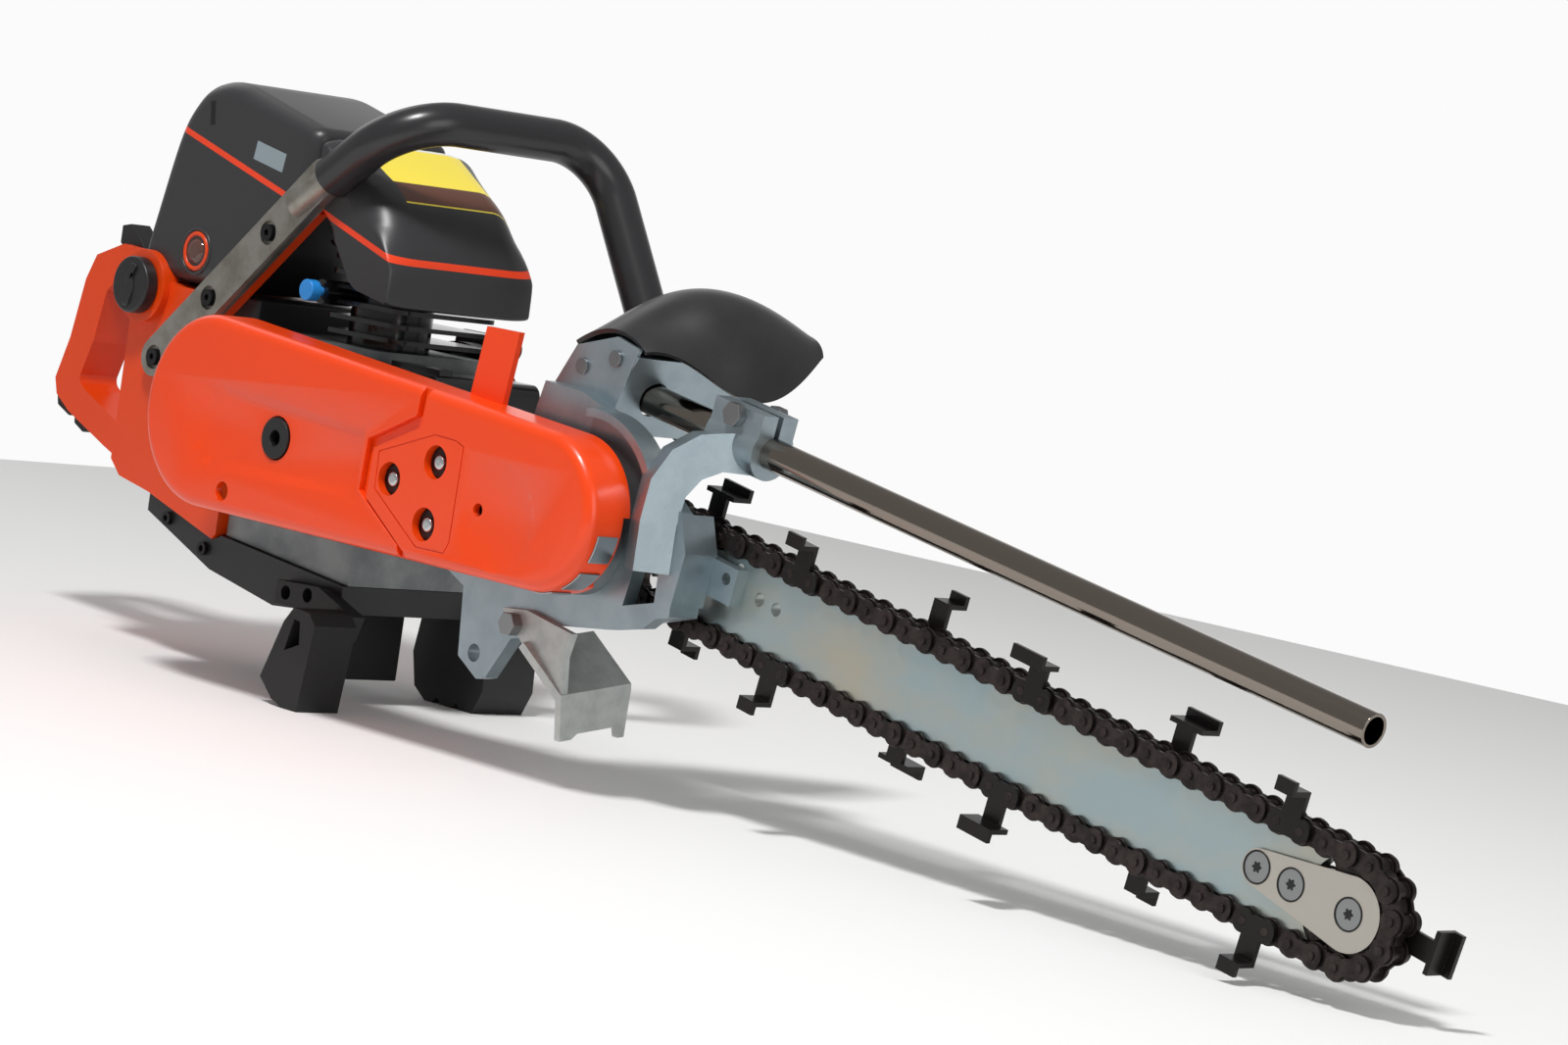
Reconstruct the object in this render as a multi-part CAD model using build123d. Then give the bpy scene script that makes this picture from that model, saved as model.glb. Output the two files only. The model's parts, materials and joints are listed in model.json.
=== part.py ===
from build123d import *
import os
from math import atan2, cos, degrees, hypot, pi, radians, sin

os.makedirs("parts", exist_ok=True)

# Hand-held chain trencher: a two-stroke power-cutter engine with a belt-driven arm, and on the
# arm's end a cast adapter that carries a bar, a roller chain with cutters and a depth tube.
# It is laid out from the drive sprocket's centre: +X forward along the floor, +Y to the
# operator's left, +Z up, millimetres. The last lines move everything so that the origin is
# under the middle of the whole machine, on the floor.

# ---------------------------------------------------------------- chain, bar and sprockets
PITCH = 15.875
TEETH = 11
LINKS = 84
ROLLER_D = 10.16
ROLLER_W = 9.3
PIN_D = 5.08
PLATE_T = 2.0
INNER_PLATE_H = 15.0
OUTER_PLATE_H = 13.0
CHAIN_PHASE = 0.325
CUTTER_EVERY = 6
CUTTER_START = 2
CUTTER_RISE = 21.0
CUTTER_REACH = 12.0
CUTTER_T = 3.0
BAR_T = 8.0
BAR_DROP = 10.0
BAR_REAR_X = 44.0
NOSE_PLATE_T = 2.4
NOSE_R = 20.0
NOSE_TAIL_R = 10.0
NOSE_SCREWS = (0.0, 40.0, 64.0)
NOSE_SCREW_R = 8.75

# ---------------------------------------------------------------- side planes, near to far
COVER_FACE_Y = -82.0
COVER_BACK_Y = -50.0
ARM_NEAR_Y = -49.0
ARM_T = 10.0
ADAPTER_T = 10.0
BODY_NEAR_Y = 0.0
BODY_W = 122.0
CASE_INSET = 6.0
STARTER_W = 36.0
COVER_WALL = 2.5
COVER_FACE_T = 5.5

# ---------------------------------------------------------------- belt drive and crank
CRANK_X = -322.0
CRANK_Z = 27.0
CRANK_R = 9.0
SHAFT_R = 9.5
DRUM_R = 34.0
PULLEY_R = 27.0
BELT_T = 3.2
BELT_W = 15.0
BELT_NEAR_Y = -72.0
COVER_REAR_R = 61.0
COVER_FRONT_R = 47.5
COVER_FRONT_Z = 14.0
FLYWHEEL_R = 52.0
STARTER_R = 42.0
RUN = 0.06

# ---------------------------------------------------------------- handles, tube and floor
STRIP_W = 26.0
STRIP_T = 8.0
HANDLE_TUBE_R = 10.5
GRIP_R = 14.0
DEPTH_TUBE_R = 9.5
DEPTH_TUBE_WALL = 2.0
DEPTH_TUBE_DROP = 9.2
FLOOR_Z = -150.0
CASE_BORE_R = 16.0
SHELL_NEAR_Y = BODY_NEAR_Y + 2.0
SHELL_SCREWS = ((-450.0, -58.0), (-408.0, -71.5), (-306.0, -84.0), (-284.0, -82.0))

PITCH_R = PITCH / (2 * sin(pi / TEETH))
SPAN = (LINKS - TEETH) / 2 * PITCH
BAR_HALF_H = PITCH_R - ROLLER_D / 2 - 0.05
SPROCKET_TIP_R = PITCH_R + 2.4
ARM_FAR_Y = ARM_NEAR_Y + ARM_T
ADAPTER_FAR_Y = ARM_FAR_Y + ADAPTER_T
BODY_FAR_Y = BODY_NEAR_Y + BODY_W
CASE_NEAR_Y = BODY_NEAR_Y + CASE_INSET
CASE_FAR_Y = BODY_FAR_Y - CASE_INSET
STARTER_FAR_Y = BODY_FAR_Y + STARTER_W
BELT_FAR_Y = BELT_NEAR_Y + BELT_W
MID_Y = (BODY_NEAR_Y + BODY_FAR_Y) / 2
CRANK = (CRANK_X, CRANK_Z)
SHAFT = (0.0, 0.0)
BAR_FRAME = Location((0, 0, 0), (0, BAR_DROP, 0))


# ---------------------------------------------------------------- drawing helpers
def outline(points):
    """Closed flat outline through the points, always drawn anticlockwise."""
    ring = list(points) + [points[0]]
    area = sum(a[0] * b[1] - b[0] * a[1] for a, b in zip(ring, ring[1:]))
    ordered = points if area > 0 else points[::-1]
    return Polygon(*ordered, align=None)


def rounded(points, radius):
    """Closed outline with every corner rounded."""
    shape = outline(points)
    return fillet(shape.vertices(), radius)


def slab(shape, y_near, y_far):
    """An X-Z outline given thickness from y_near to y_far."""
    return extrude(Plane.XZ.offset(-y_far) * shape, y_far - y_near, dir=(0, -1, 0))


def disc(radius, y_near, y_far, at=SHAFT):
    """Solid cylinder along Y about the X-Z point."""
    return slab(Pos(at[0], at[1]) * Circle(radius), y_near, y_far)


def tube(outer, inner, y_near, y_far, at=SHAFT):
    """Hollow cylinder along Y."""
    return disc(outer, y_near, y_far, at) - disc(inner, y_near - 1, y_far + 1, at)


def pill(r_a, at_a, r_b, at_b):
    """Outline of two circles joined by their outer tangents."""
    a = Pos(*at_a) * Circle(r_a)
    b = Pos(*at_b) * Circle(r_b)
    return make_hull(a.edges() + b.edges())


def block(x0, x1, y0, y1, z0, z1):
    """Box between two corners."""
    centre = ((x0 + x1) / 2, (y0 + y1) / 2, (z0 + z1) / 2)
    return Pos(*centre) * Box(x1 - x0, y1 - y0, z1 - z0)


def round_bar(start, end, radius):
    """Solid round bar between two points in space."""
    a = Vector(*start)
    b = Vector(*end)
    return extrude(Plane(origin=a, z_dir=b - a) * Circle(radius), (b - a).length, dir=b - a)


def hexagon(across_flats, y_near, y_far, at=SHAFT):
    """Hexagonal head or nut along Y."""
    shape = RegularPolygon(across_flats / 2, 6, major_radius=False)
    return slab(Pos(at[0], at[1]) * shape, y_near, y_far)


def group(solids):
    """Separate solids that share one node."""
    return Compound(children=[s for s in solids])


# ---------------------------------------------------------------- chain
def chain_point(s):
    """Point and heading, in the bar's own frame, s pitches on from the nose's top."""
    half = TEETH / 2
    run = (LINKS - TEETH) / 2
    s = s % LINKS
    if s < half:
        turn = s / half * pi
        return SPAN + PITCH_R * sin(turn), PITCH_R * cos(turn)
    if s < half + run:
        return SPAN - (s - half) * PITCH, -PITCH_R
    if s < 2 * half + run:
        turn = (s - half - run) / half * pi
        return -PITCH_R * sin(turn), -PITCH_R * cos(turn)
    return (s - 2 * half - run) * PITCH, PITCH_R


def link_frame(index):
    """Frame at the middle of a link: +X along it, +Z away from the bar."""
    ax, az = chain_point(index + CHAIN_PHASE)
    bx, bz = chain_point(index + 1 + CHAIN_PHASE)
    angle = degrees(atan2(bz - az, bx - ax))
    place = Location(((ax + bx) / 2, 0, (az + bz) / 2), (0, -angle, 0))
    return BAR_FRAME * place


def link_plate(height, y_near, hole_r):
    """One side plate with a waist between its two eyes."""
    eyes = [Pos(dx, 0) * Circle(height / 2) for dx in (-PITCH / 2, PITCH / 2)]
    waist = Rectangle(PITCH, height * 0.72)
    shape = eyes[0] + eyes[1] + waist
    plate = slab(shape, y_near, y_near + PLATE_T)
    if hole_r:
        for dx in (-PITCH / 2, PITCH / 2):
            plate -= disc(hole_r, y_near - 1, y_near + PLATE_T + 1, (dx, 0))
    return plate


def inner_link():
    """Two plates and two rollers; the pins of the next links turn in it."""
    hole_r = PIN_D / 2 + RUN
    link = link_plate(INNER_PLATE_H, ROLLER_W / 2, hole_r)
    link += link_plate(INNER_PLATE_H, -ROLLER_W / 2 - PLATE_T, hole_r)
    for dx in (-PITCH / 2, PITCH / 2):
        link += tube(ROLLER_D / 2, hole_r, -ROLLER_W / 2, ROLLER_W / 2, (dx, 0))
    return link


OUTER_PLATE_Y = ROLLER_W / 2 + PLATE_T + 0.15
PIN_END_Y = OUTER_PLATE_Y + PLATE_T + 1.2


def outer_link(skip=0):
    """Two pins and two plates; skip leaves out the plate on that side (-1 near, +1 far)."""
    link = disc(PIN_D / 2, -PIN_END_Y, PIN_END_Y, (-PITCH / 2, 0))
    link += disc(PIN_D / 2, -PIN_END_Y, PIN_END_Y, (PITCH / 2, 0))
    if skip < 1:
        link += link_plate(OUTER_PLATE_H, OUTER_PLATE_Y, 0)
    if skip > -1:
        link += link_plate(OUTER_PLATE_H, -OUTER_PLATE_Y - PLATE_T, 0)
    return link


def cutter(side, hooked):
    """Side plate bent up into a blade that leans out to the side (-1 near, +1 far)."""
    wing_w = PITCH * (0.8 if hooked else 1.5)
    plate_y = OUTER_PLATE_Y + CUTTER_T
    y0, y1 = sorted((side * OUTER_PLATE_Y, side * plate_y))
    shape = Pos(-PITCH / 2, 0) * Circle(OUTER_PLATE_H / 2)
    shape += Pos(PITCH / 2, 0) * Circle(OUTER_PLATE_H / 2)
    shape += Rectangle(PITCH, OUTER_PLATE_H * 0.8)
    shape += Pos(0, CUTTER_RISE / 2) * Rectangle(PITCH * 0.8, CUTTER_RISE)
    for dx in (-PITCH / 2, PITCH / 2):
        shape -= Pos(dx, 0) * Circle(PIN_D / 2)
    y2, y3 = sorted((side * OUTER_PLATE_Y, side * (plate_y + CUTTER_REACH)))
    wing = block(-wing_w / 2, wing_w / 2, y2, y3, CUTTER_RISE - CUTTER_T, CUTTER_RISE)
    tip_y = side * (plate_y + CUTTER_REACH)
    t0, t1 = sorted((tip_y, tip_y - side * CUTTER_T))
    lip = block(-wing_w / 2, wing_w / 2, t0, t1, CUTTER_RISE - CUTTER_T, CUTTER_RISE + 5)
    return slab(shape, y0, y1) + wing + lip


def make_chain():
    plain_inner = inner_link()
    plain_outer = outer_link()
    inners = []
    outers = []
    cutters = []
    for index in range(LINKS):
        frame = link_frame(index)
        if index % 2:
            inners.append(frame * plain_inner)
            continue
        if index % CUTTER_EVERY != CUTTER_START:
            outers.append(frame * plain_outer)
            continue
        number = index // CUTTER_EVERY
        side = -1 if number % 2 else 1
        hooked = ((number + 3) // 2) % 2 == 0
        outers.append(frame * outer_link(side))
        cutters.append(frame * cutter(side, hooked))
    return group(inners), group(outers), group(cutters)


def sprocket(bore_r, thickness):
    """Flat sprocket with round roller seats."""
    shape = Circle(SPROCKET_TIP_R) - Circle(bore_r)
    for tooth in range(TEETH):
        angle = 2 * pi * tooth / TEETH
        shape -= Pos(PITCH_R * cos(angle), PITCH_R * sin(angle)) * Circle(ROLLER_D / 2 + 0.12)
    return slab(shape, -thickness / 2, thickness / 2)


def seat_angle(centre_x):
    """Angle that puts a roller seat under a pin of the sprocket about centre_x."""
    reach = [(chain_point(i + CHAIN_PHASE), i) for i in range(LINKS)]
    ahead = 1 if centre_x > 0 else -1
    pins = [p for p, i in reach if ahead * (p[0] - centre_x) > PITCH_R * 0.5]
    x, z = pins[len(pins) // 2]
    return degrees(atan2(z, x - centre_x))


def cleared(wheel, centre_x):
    """The sprocket with room for the rollers that are coming in and going out."""
    for index in range(LINKS):
        x, z = chain_point(index + CHAIN_PHASE)
        if hypot(x - centre_x, z) < PITCH_R + PITCH:
            wheel -= disc(ROLLER_D / 2 + 0.12, -ROLLER_W, ROLLER_W, (x - centre_x, z))
    return wheel


def make_sprockets():
    drive = Rot(0, -seat_angle(0), 0) * sprocket(SHAFT_R + RUN, ROLLER_W - 0.8)
    nose = Rot(0, -seat_angle(SPAN), 0) * sprocket(4.0 + RUN, BAR_T - 0.5)
    drive = cleared(drive, 0)
    nose = cleared(nose, SPAN)
    return BAR_FRAME * drive, BAR_FRAME * Pos(SPAN, 0, 0) * nose


# ---------------------------------------------------------------- bar and nose
BAR_SLOT = (96.0, 9.0)
BAR_HOLES = ((117.0, 4.2), (132.0, 3.6))


def make_bar():
    tip_x = SPAN - 12.0
    shape = outline([(BAR_REAR_X, -BAR_HALF_H), (tip_x, -BAR_HALF_H),
                     (tip_x, BAR_HALF_H), (BAR_REAR_X, BAR_HALF_H)])
    shape -= Pos(SPAN, 0) * Circle(SPROCKET_TIP_R + 1.2)
    for x, z in BAR_HOLES:
        shape -= Pos(x, z) * Circle(4.0)
    shape -= Pos(*BAR_SLOT) * Rot(0, 0, 90) * SlotOverall(20.0, 5.0)
    for back in NOSE_SCREWS[1:]:
        shape -= Pos(SPAN - back, 0) * Circle(4.0 + RUN)
    return BAR_FRAME * slab(shape, -BAR_T / 2, BAR_T / 2)


def make_nose_plates():
    shape = pill(NOSE_R, (SPAN, 0), NOSE_TAIL_R, (SPAN - NOSE_SCREWS[-1], 0))
    for back in NOSE_SCREWS:
        shape -= Pos(SPAN - back, 0) * Circle(NOSE_SCREW_R + RUN)
    near = slab(shape, -BAR_T / 2 - NOSE_PLATE_T, -BAR_T / 2)
    far = slab(shape, BAR_T / 2, BAR_T / 2 + NOSE_PLATE_T)
    return BAR_FRAME * group([near, far])


def make_nose_screws():
    screws = []
    head = BAR_T / 2 + NOSE_PLATE_T
    for back in NOSE_SCREWS:
        at = (SPAN - back, 0)
        screw = disc(4.0, -head, head, at)
        screw += disc(NOSE_SCREW_R, -head, -BAR_T / 2, at)
        screw += disc(NOSE_SCREW_R, BAR_T / 2, head, at)
        screws.append(screw)
    return BAR_FRAME * group(screws)


# ---------------------------------------------------------------- arm, shaft and belt
STUDS = ((-133.0, 12.0), (-93.0, 28.0), (-96.0, -10.0))
STUD_R = 4.0
BUSH_AT = (-249.0, 20.0)
HOUSING_R = 24.0
HOUSING_BORE = 17.0
HOUSING_FAR_Y = -14.0


def make_arm():
    shape = pill(46.0, CRANK, 34.0, SHAFT)
    arm = slab(shape, ARM_NEAR_Y, ARM_FAR_Y) + disc(HOUSING_R, ARM_FAR_Y, HOUSING_FAR_Y)
    arm -= disc(HOUSING_BORE, ARM_NEAR_Y - 1, HOUSING_FAR_Y + 1)
    arm -= disc(17.0, ARM_NEAR_Y - 1, ARM_FAR_Y + 1, CRANK)
    for at in STUDS:
        arm -= disc(STUD_R + RUN, ARM_NEAR_Y - 1, ARM_FAR_Y + 1, at)
    return arm


def make_arm_studs():
    pieces = []
    for at in STUDS:
        stud = disc(STUD_R, ARM_NEAR_Y - 15, ADAPTER_FAR_Y, at)
        nut = hexagon(13.0, ARM_NEAR_Y - 8, ARM_NEAR_Y, at)
        pieces.append(stud + nut)
    return group(pieces)


def make_shaft():
    shaft = disc(SHAFT_R, BELT_NEAR_Y - 4, 10.0)
    shaft += disc(SHAFT_R + 3, HOUSING_FAR_Y + 0.5, -ROLLER_W / 2)
    return shaft + hexagon(24.0, ROLLER_W / 2, 12.0)


def make_driven_pulley():
    body = disc(PULLEY_R, BELT_NEAR_Y, BELT_FAR_Y)
    body += disc(PULLEY_R + 3, BELT_NEAR_Y - 2, BELT_NEAR_Y - 0.3)
    body += disc(PULLEY_R + 3, BELT_FAR_Y + 0.3, BELT_FAR_Y + 2)
    body += disc(PULLEY_R, BELT_NEAR_Y - 1, BELT_FAR_Y + 1)
    return body - disc(SHAFT_R + 0.02, BELT_NEAR_Y - 5, BELT_FAR_Y + 5)


def make_belt():
    gap = 0.15
    outer = pill(DRUM_R + gap + BELT_T, CRANK, PULLEY_R + gap + BELT_T, SHAFT)
    inner = pill(DRUM_R + gap, CRANK, PULLEY_R + gap, SHAFT)
    return slab(outer - inner, BELT_NEAR_Y, BELT_FAR_Y)


def make_clutch_drum():
    """Cup that the belt runs on; it turns on the crankshaft when the clutch lets go."""
    drum = disc(DRUM_R, BELT_NEAR_Y, BELT_FAR_Y + 3, CRANK)
    drum -= disc(DRUM_R - 4, BELT_NEAR_Y - 1, BELT_FAR_Y, CRANK)
    return drum - disc(CRANK_R + RUN, BELT_NEAR_Y - 1, BELT_FAR_Y + 4, CRANK)


def make_clutch_hub():
    """Three shoes on a spider, all turning with the crankshaft."""
    near, far = BELT_NEAR_Y + 1, BELT_FAR_Y - 1
    hub = tube(DRUM_R - 5.5, CRANK_R + 0.02, near, far, CRANK)
    for shoe in range(3):
        slot = Pos(22, 0) * Rectangle(20, 4)
        hub -= slab(Pos(*CRANK) * Rot(0, 0, 120 * shoe) * slot, near - 1, far + 1)
    return hub


# ---------------------------------------------------------------- belt cover, two mouldings
COVER_JOINT = ((-115.0, -50.0), (-117.5, -26.0), (-160.0, 1.0), (-158.0, 33.0), (-116.0, 53.0),
               (-113.0, 90.0))
JOINT_GROOVE = ((-109.0, -50.0), (-111.0, -29.0), (-152.0, -2.0), (-151.0, 28.5), (-110.0, 47.0),
                (-107.0, 90.0))
ISLAND = ((-96.3, 44.1), (-145.5, 27.1), (-145.0, 4.3), (-100.5, -24.1), (-74.4, -23.8),
          (-70.7, -16.9), (-69.6, 40.6), (-77.2, 43.4))
TAB_X = (-104.0, -74.0)
TAB_TOP_Z = 112.0


def cover_shell():
    shape = pill(COVER_REAR_R, CRANK, COVER_FRONT_R, (0, COVER_FRONT_Z))
    inner = pill(COVER_REAR_R - COVER_WALL, CRANK, COVER_FRONT_R - COVER_WALL, (0, COVER_FRONT_Z))
    body = slab(shape, COVER_FACE_Y, COVER_BACK_Y)
    rim = body.faces().sort_by(Axis.Y)[0].edges()
    body = fillet(rim, 7.0)
    body -= slab(inner, COVER_FACE_Y + COVER_FACE_T, COVER_BACK_Y + 1)
    for at in STUDS:
        body -= disc(10.2, COVER_FACE_Y - 1, COVER_FACE_Y + 6, at)
    body -= disc(13.6, COVER_FACE_Y - 1, COVER_FACE_Y + 6, BUSH_AT)
    body -= disc(4.0, COVER_FACE_Y - 1, COVER_FACE_Y + 6, (-50.0, 6.0))
    body -= disc(6.0, COVER_FACE_Y - 1, COVER_FACE_Y + 6, (-292.0, -20.0))
    return body


def make_cover_rear():
    behind = outline([(-420, -60), *COVER_JOINT, (-420, 110)])
    rear = cover_shell() & slab(behind, COVER_FACE_Y - 1, COVER_BACK_Y + 1)
    wide = Plane.XZ.offset(-COVER_FACE_Y + 1) * pill(30.5, (-306, 20), 22.8, (-140, 15.8))
    narrow = Plane.XZ.offset(-COVER_FACE_Y - 3) * pill(20.5, (-303, 20), 15.5, (-140, 15.8))
    dish = loft([wide.face(), narrow.face()])
    return rear - (dish & block(-360, -162, -90, -70, -60, 90))


def make_cover_front():
    gap = 0.4
    ahead = outline([(80, -60), *[(x + gap, z) for x, z in COVER_JOINT], (80, 110)])
    front = cover_shell() & slab(ahead, COVER_FACE_Y - 1, COVER_BACK_Y + 1)
    groove = outline([*COVER_JOINT, *JOINT_GROOVE[::-1]])
    front -= slab(groove, COVER_FACE_Y - 1, COVER_FACE_Y + 4.3)
    line = offset(outline(ISLAND), 0.4) - offset(outline(ISLAND), -0.4)
    front -= slab(line, COVER_FACE_Y - 1, COVER_FACE_Y + 0.9)
    dish = Pos(35, -3, 0) * Rot(90, 0, 0) * Cone(29, 43, 6)
    front -= Pos(-69, COVER_FACE_Y, 4) * Rot(0, 0, 2.4) * dish
    front -= block(25, 60, COVER_BACK_Y - 5, COVER_BACK_Y + 1, -60, 18)
    low, high = TAB_X
    tab = outline([(low, 60), (high, 56), (high + 8, TAB_TOP_Z), (low + 8, TAB_TOP_Z)])
    tab_solid = slab(tab, COVER_BACK_Y - 4, COVER_BACK_Y)
    inner = pill(COVER_REAR_R - COVER_WALL, CRANK, COVER_FRONT_R - COVER_WALL, (0, COVER_FRONT_Z))
    return front + (tab_solid - slab(inner, COVER_BACK_Y - 5, COVER_BACK_Y + 1))


def make_cover_bush():
    """Rubber bush and its screw, which hold the rear moulding to the arm."""
    bush = tube(13.0, 5.0, COVER_FACE_Y + 1.5, ARM_NEAR_Y, BUSH_AT)
    return bush


WEAR_PADS = ((-9.0, -30.0), (-40.0, -62.0), (-72.0, -92.0))


def make_wear_pads():
    pads = []
    y0, y1 = COVER_FACE_Y + 9, COVER_FACE_Y + 25
    for start, end in WEAR_PADS:
        reach = COVER_FRONT_R + 20
        wedge = [(0.0, 0.0)]
        for step in range(3):
            a = radians(start + (end - start) * step / 2)
            wedge.append((reach * cos(a), reach * sin(a)))
        ring = Circle(COVER_FRONT_R + 1.2) - Circle(COVER_FRONT_R + 0.02)
        shape = Pos(0, COVER_FRONT_Z) * (ring & outline(wedge))
        pads.append(slab(shape, y0, y1))
    return group(pads)


# ---------------------------------------------------------------- adapter, guard and tube
TUBE_FRAME = Location((114.6, 0, 65.8), (0, DEPTH_TUBE_DROP, 0))
ADAPTER_HOLES = ((-83.0, -84.0, 5.5), (-45.0, -60.0, 4.2))
RIVETS = ((-6.0, 106.0), (-34.0, 98.0))


def clamp_body():
    """Split clamp round the depth tube, with two ears on top."""
    clamp = extrude(Plane.YZ.offset(-52) * Circle(DEPTH_TUBE_R + 7), 42, dir=(1, 0, 0))
    clamp += block(-52, -10, -14, 14, 0, 22)
    bore = extrude(Plane.YZ.offset(-60) * Circle(DEPTH_TUBE_R + RUN), 60, dir=(1, 0, 0))
    slot = block(-53, -9, -2, 2, 0, 23)
    hole = disc(4.1, -20, 20, (-31, 16.5))
    return TUBE_FRAME * (clamp - bore - slot - hole)


def tube_arm():
    """C-shaped rib from the adapter's near side over the chain to the tube clamp."""
    curve = [(16, 76), (-14, 76), (-32, 73), (-48, 62), (-58, 44), (-61, 20), (-61, -10),
             (-39, -10), (-39, 18), (-36, 36), (-28, 47), (-16, 53), (16, 53)]
    rib = extrude(Plane.YZ.offset(-10.5) * outline(curve), 21, dir=(1, 0, 0))
    rib = Pos(85, 0, 0) * Rot(0, 0, -28.4) * rib
    bore = extrude(Plane.YZ.offset(-90) * Circle(DEPTH_TUBE_R + RUN), 90, dir=(1, 0, 0))
    return rib - TUBE_FRAME * bore


def make_adapter():
    plate = outline([(-150, -22), (-150, 34), (-112, 46), (-62, 58), (-54, 86), (-20, 84), (2, 76),
                     (34, 62), (56, 42), (78, 26), (84, 4), (78, -30), (60, -44), (30, -50),
                     (-20, -56), (-36, -66), (-52, -70), (-70, -97), (-78, -99), (-97, -88),
                     (-101, -46), (-128, -34)])
    plate -= Circle(HOUSING_R + 0.05)
    plate -= outline([(40, -34), (66, -28), (66, 6), (48, 2)])
    for x, z, r in ADAPTER_HOLES:
        plate -= Pos(x, z) * Circle(r)
    for at in STUDS:
        plate -= Pos(*at) * Circle(STUD_R + RUN)
    body = slab(plate, ARM_FAR_Y, ADAPTER_FAR_Y)
    rim = Circle(62) - Circle(57)
    sector = outline([(0, 0), (150, 60), (120, 150), (-18, 150)])
    body += slab(Pos(0, COVER_FRONT_Z) * (rim & sector), COVER_BACK_Y + 4, ADAPTER_FAR_Y)
    web = outline([(68, -32), (80, -28), (86, 4), (78, 26), (70, 22), (74, 4)])
    body += slab(web, ARM_FAR_Y, -13.0)
    lug = outline([(50, -5), (104, -5), (104, 17), (50, 17)])
    body += BAR_FRAME * slab(lug, -13.5, -BAR_T / 2)
    shelf = outline([(36, -46), (80, -34), (80, -28), (38, -40)])
    body += slab(shelf, ARM_FAR_Y, -16.0)
    body += tube_arm()
    body += clamp_body()
    hole = disc(3.6, -60, 0, BAR_SLOT)
    y, z = TENSION_AT
    body -= round_bar((20, y, z), (74, y, z), 4.06)
    body -= block(51.9, 59.1, y - 8, y + 8, z - 8, z + 8)
    return body - BAR_FRAME * hole


DEPTH_TUBE_REAR = -135.0
DEPTH_TUBE_FRONT = 455.0


def make_depth_tube():
    wall = Circle(DEPTH_TUBE_R) - Circle(DEPTH_TUBE_R - DEPTH_TUBE_WALL)
    length = DEPTH_TUBE_FRONT - DEPTH_TUBE_REAR
    return TUBE_FRAME * extrude(Plane.YZ.offset(DEPTH_TUBE_REAR) * wall, length, dir=(1, 0, 0))


CLAMP_BOLT_AT = (-31.0, 16.5)
TENSION_AT = (-22.0, -9.0)


def make_tension_bolt():
    y, z = TENSION_AT
    bolt = round_bar((34, y, z), (72, y, z), 4.0)
    nut = Pos(52, y, z) * Rot(0, 90, 0) * extrude(RegularPolygon(6.5, 6, major_radius=False), 7)
    return bolt + nut


def make_guard_bracket():
    """Bright side plate that bends round into the wall behind the chain."""
    shape = outline([(-54, 60), (-58, 84), (-42, 110), (-8, 119), (12, 114), (4, 92), (-8, 60)])
    bracket = slab(shape, ADAPTER_FAR_Y, ADAPTER_FAR_Y + 3)
    wall = outline([(-10, 62), (-3, 90), (8, 110), (12, 109), (1, 90), (-6, 62)])
    bracket += slab(wall, ADAPTER_FAR_Y + 1, 70)
    for at in RIVETS:
        bracket -= disc(2.5, ADAPTER_FAR_Y - 1, ADAPTER_FAR_Y + 4, at)
    return bracket - TUBE_FRAME * round_bar((-200, 0, 0), (0, 0, 0), DEPTH_TUBE_R + 1)


GUARD_RIBS = ((-27.0, (-46, 112), (-14, 123), (16, 113)),
              (5.0, (-34, 136), (6, 139), (38, 104)),
              (36.0, (-12, 153), (28, 140), (49, 92)),
              (74.0, (8, 147), (33, 134), (44, 104)),
              (102.0, (22, 133), (30, 129), (34, 122)))
GUARD_T = 3.0


def guard_rib(y, top, middle, low):
    """Thin crescent across the guard at one side plane."""
    outer = ThreePointArc(top, middle, low)
    shift = -GUARD_T * 0.7
    inner_pts = [(p[0] + shift, p[1] + shift) for p in (low, middle, top)]
    inner = ThreePointArc(*inner_pts)
    close_a = Line(low, inner_pts[0])
    close_b = Line(inner_pts[2], top)
    face = make_face(Curve() + [outer, close_a, inner, close_b])
    return Plane.XZ.offset(-y) * face


def make_guard():
    """Thin domed flap over the rear of the chain, riveted to its bracket."""
    shell = loft([guard_rib(*rib).face() for rib in GUARD_RIBS])
    skirt = [(-50, 96), (-46, 112), (-14, 121), (6, 115), (0, 98), (-14, 96)]
    lip = slab(outline(skirt), ADAPTER_FAR_Y + 3, ADAPTER_FAR_Y + 6)
    guard = shell + lip - slab(outline([(-12, 60), (-4, 90), (7, 110.2), (13, 109.2), (2, 90),
                                        (-5, 60)]), ADAPTER_FAR_Y, 71)
    for at in RIVETS:
        guard -= disc(2.5, ADAPTER_FAR_Y, ADAPTER_FAR_Y + 9, at)
    return guard


STAND_T = 5.0
STAND_TILT = 9.0
STAND_BOLT_AT = (-45.0, -60.0)


def make_stand():
    """Bent plate that hangs from the adapter and props the chain's rear end."""
    near = ARM_FAR_Y - STAND_T
    side = outline([(-58, -52), (-36, -50), (6, -57), (2, -72), (5, -96), (0, -98), (-34, -72)])
    stand = slab(side, near, ARM_FAR_Y)
    slope = slab(outline([(-34, -72), (-30, -68), (5, -94), (5, -98), (0, -98)]), near, 12)
    prongs = outline([(near, -98), (12, -98), (10, -108), (7, -126), (2, -126), (1, -119),
                      (near + 14, -119), (near + 9, -122), (near, -122)])
    slope += Plane.YZ * extrude(prongs, 5)
    stand += Pos(0, near, -98) * Rot(STAND_TILT, 0, 0) * Pos(0, -near, 98) * slope
    return stand - disc(4.2, near - 1, ARM_FAR_Y + 1, STAND_BOLT_AT)


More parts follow.
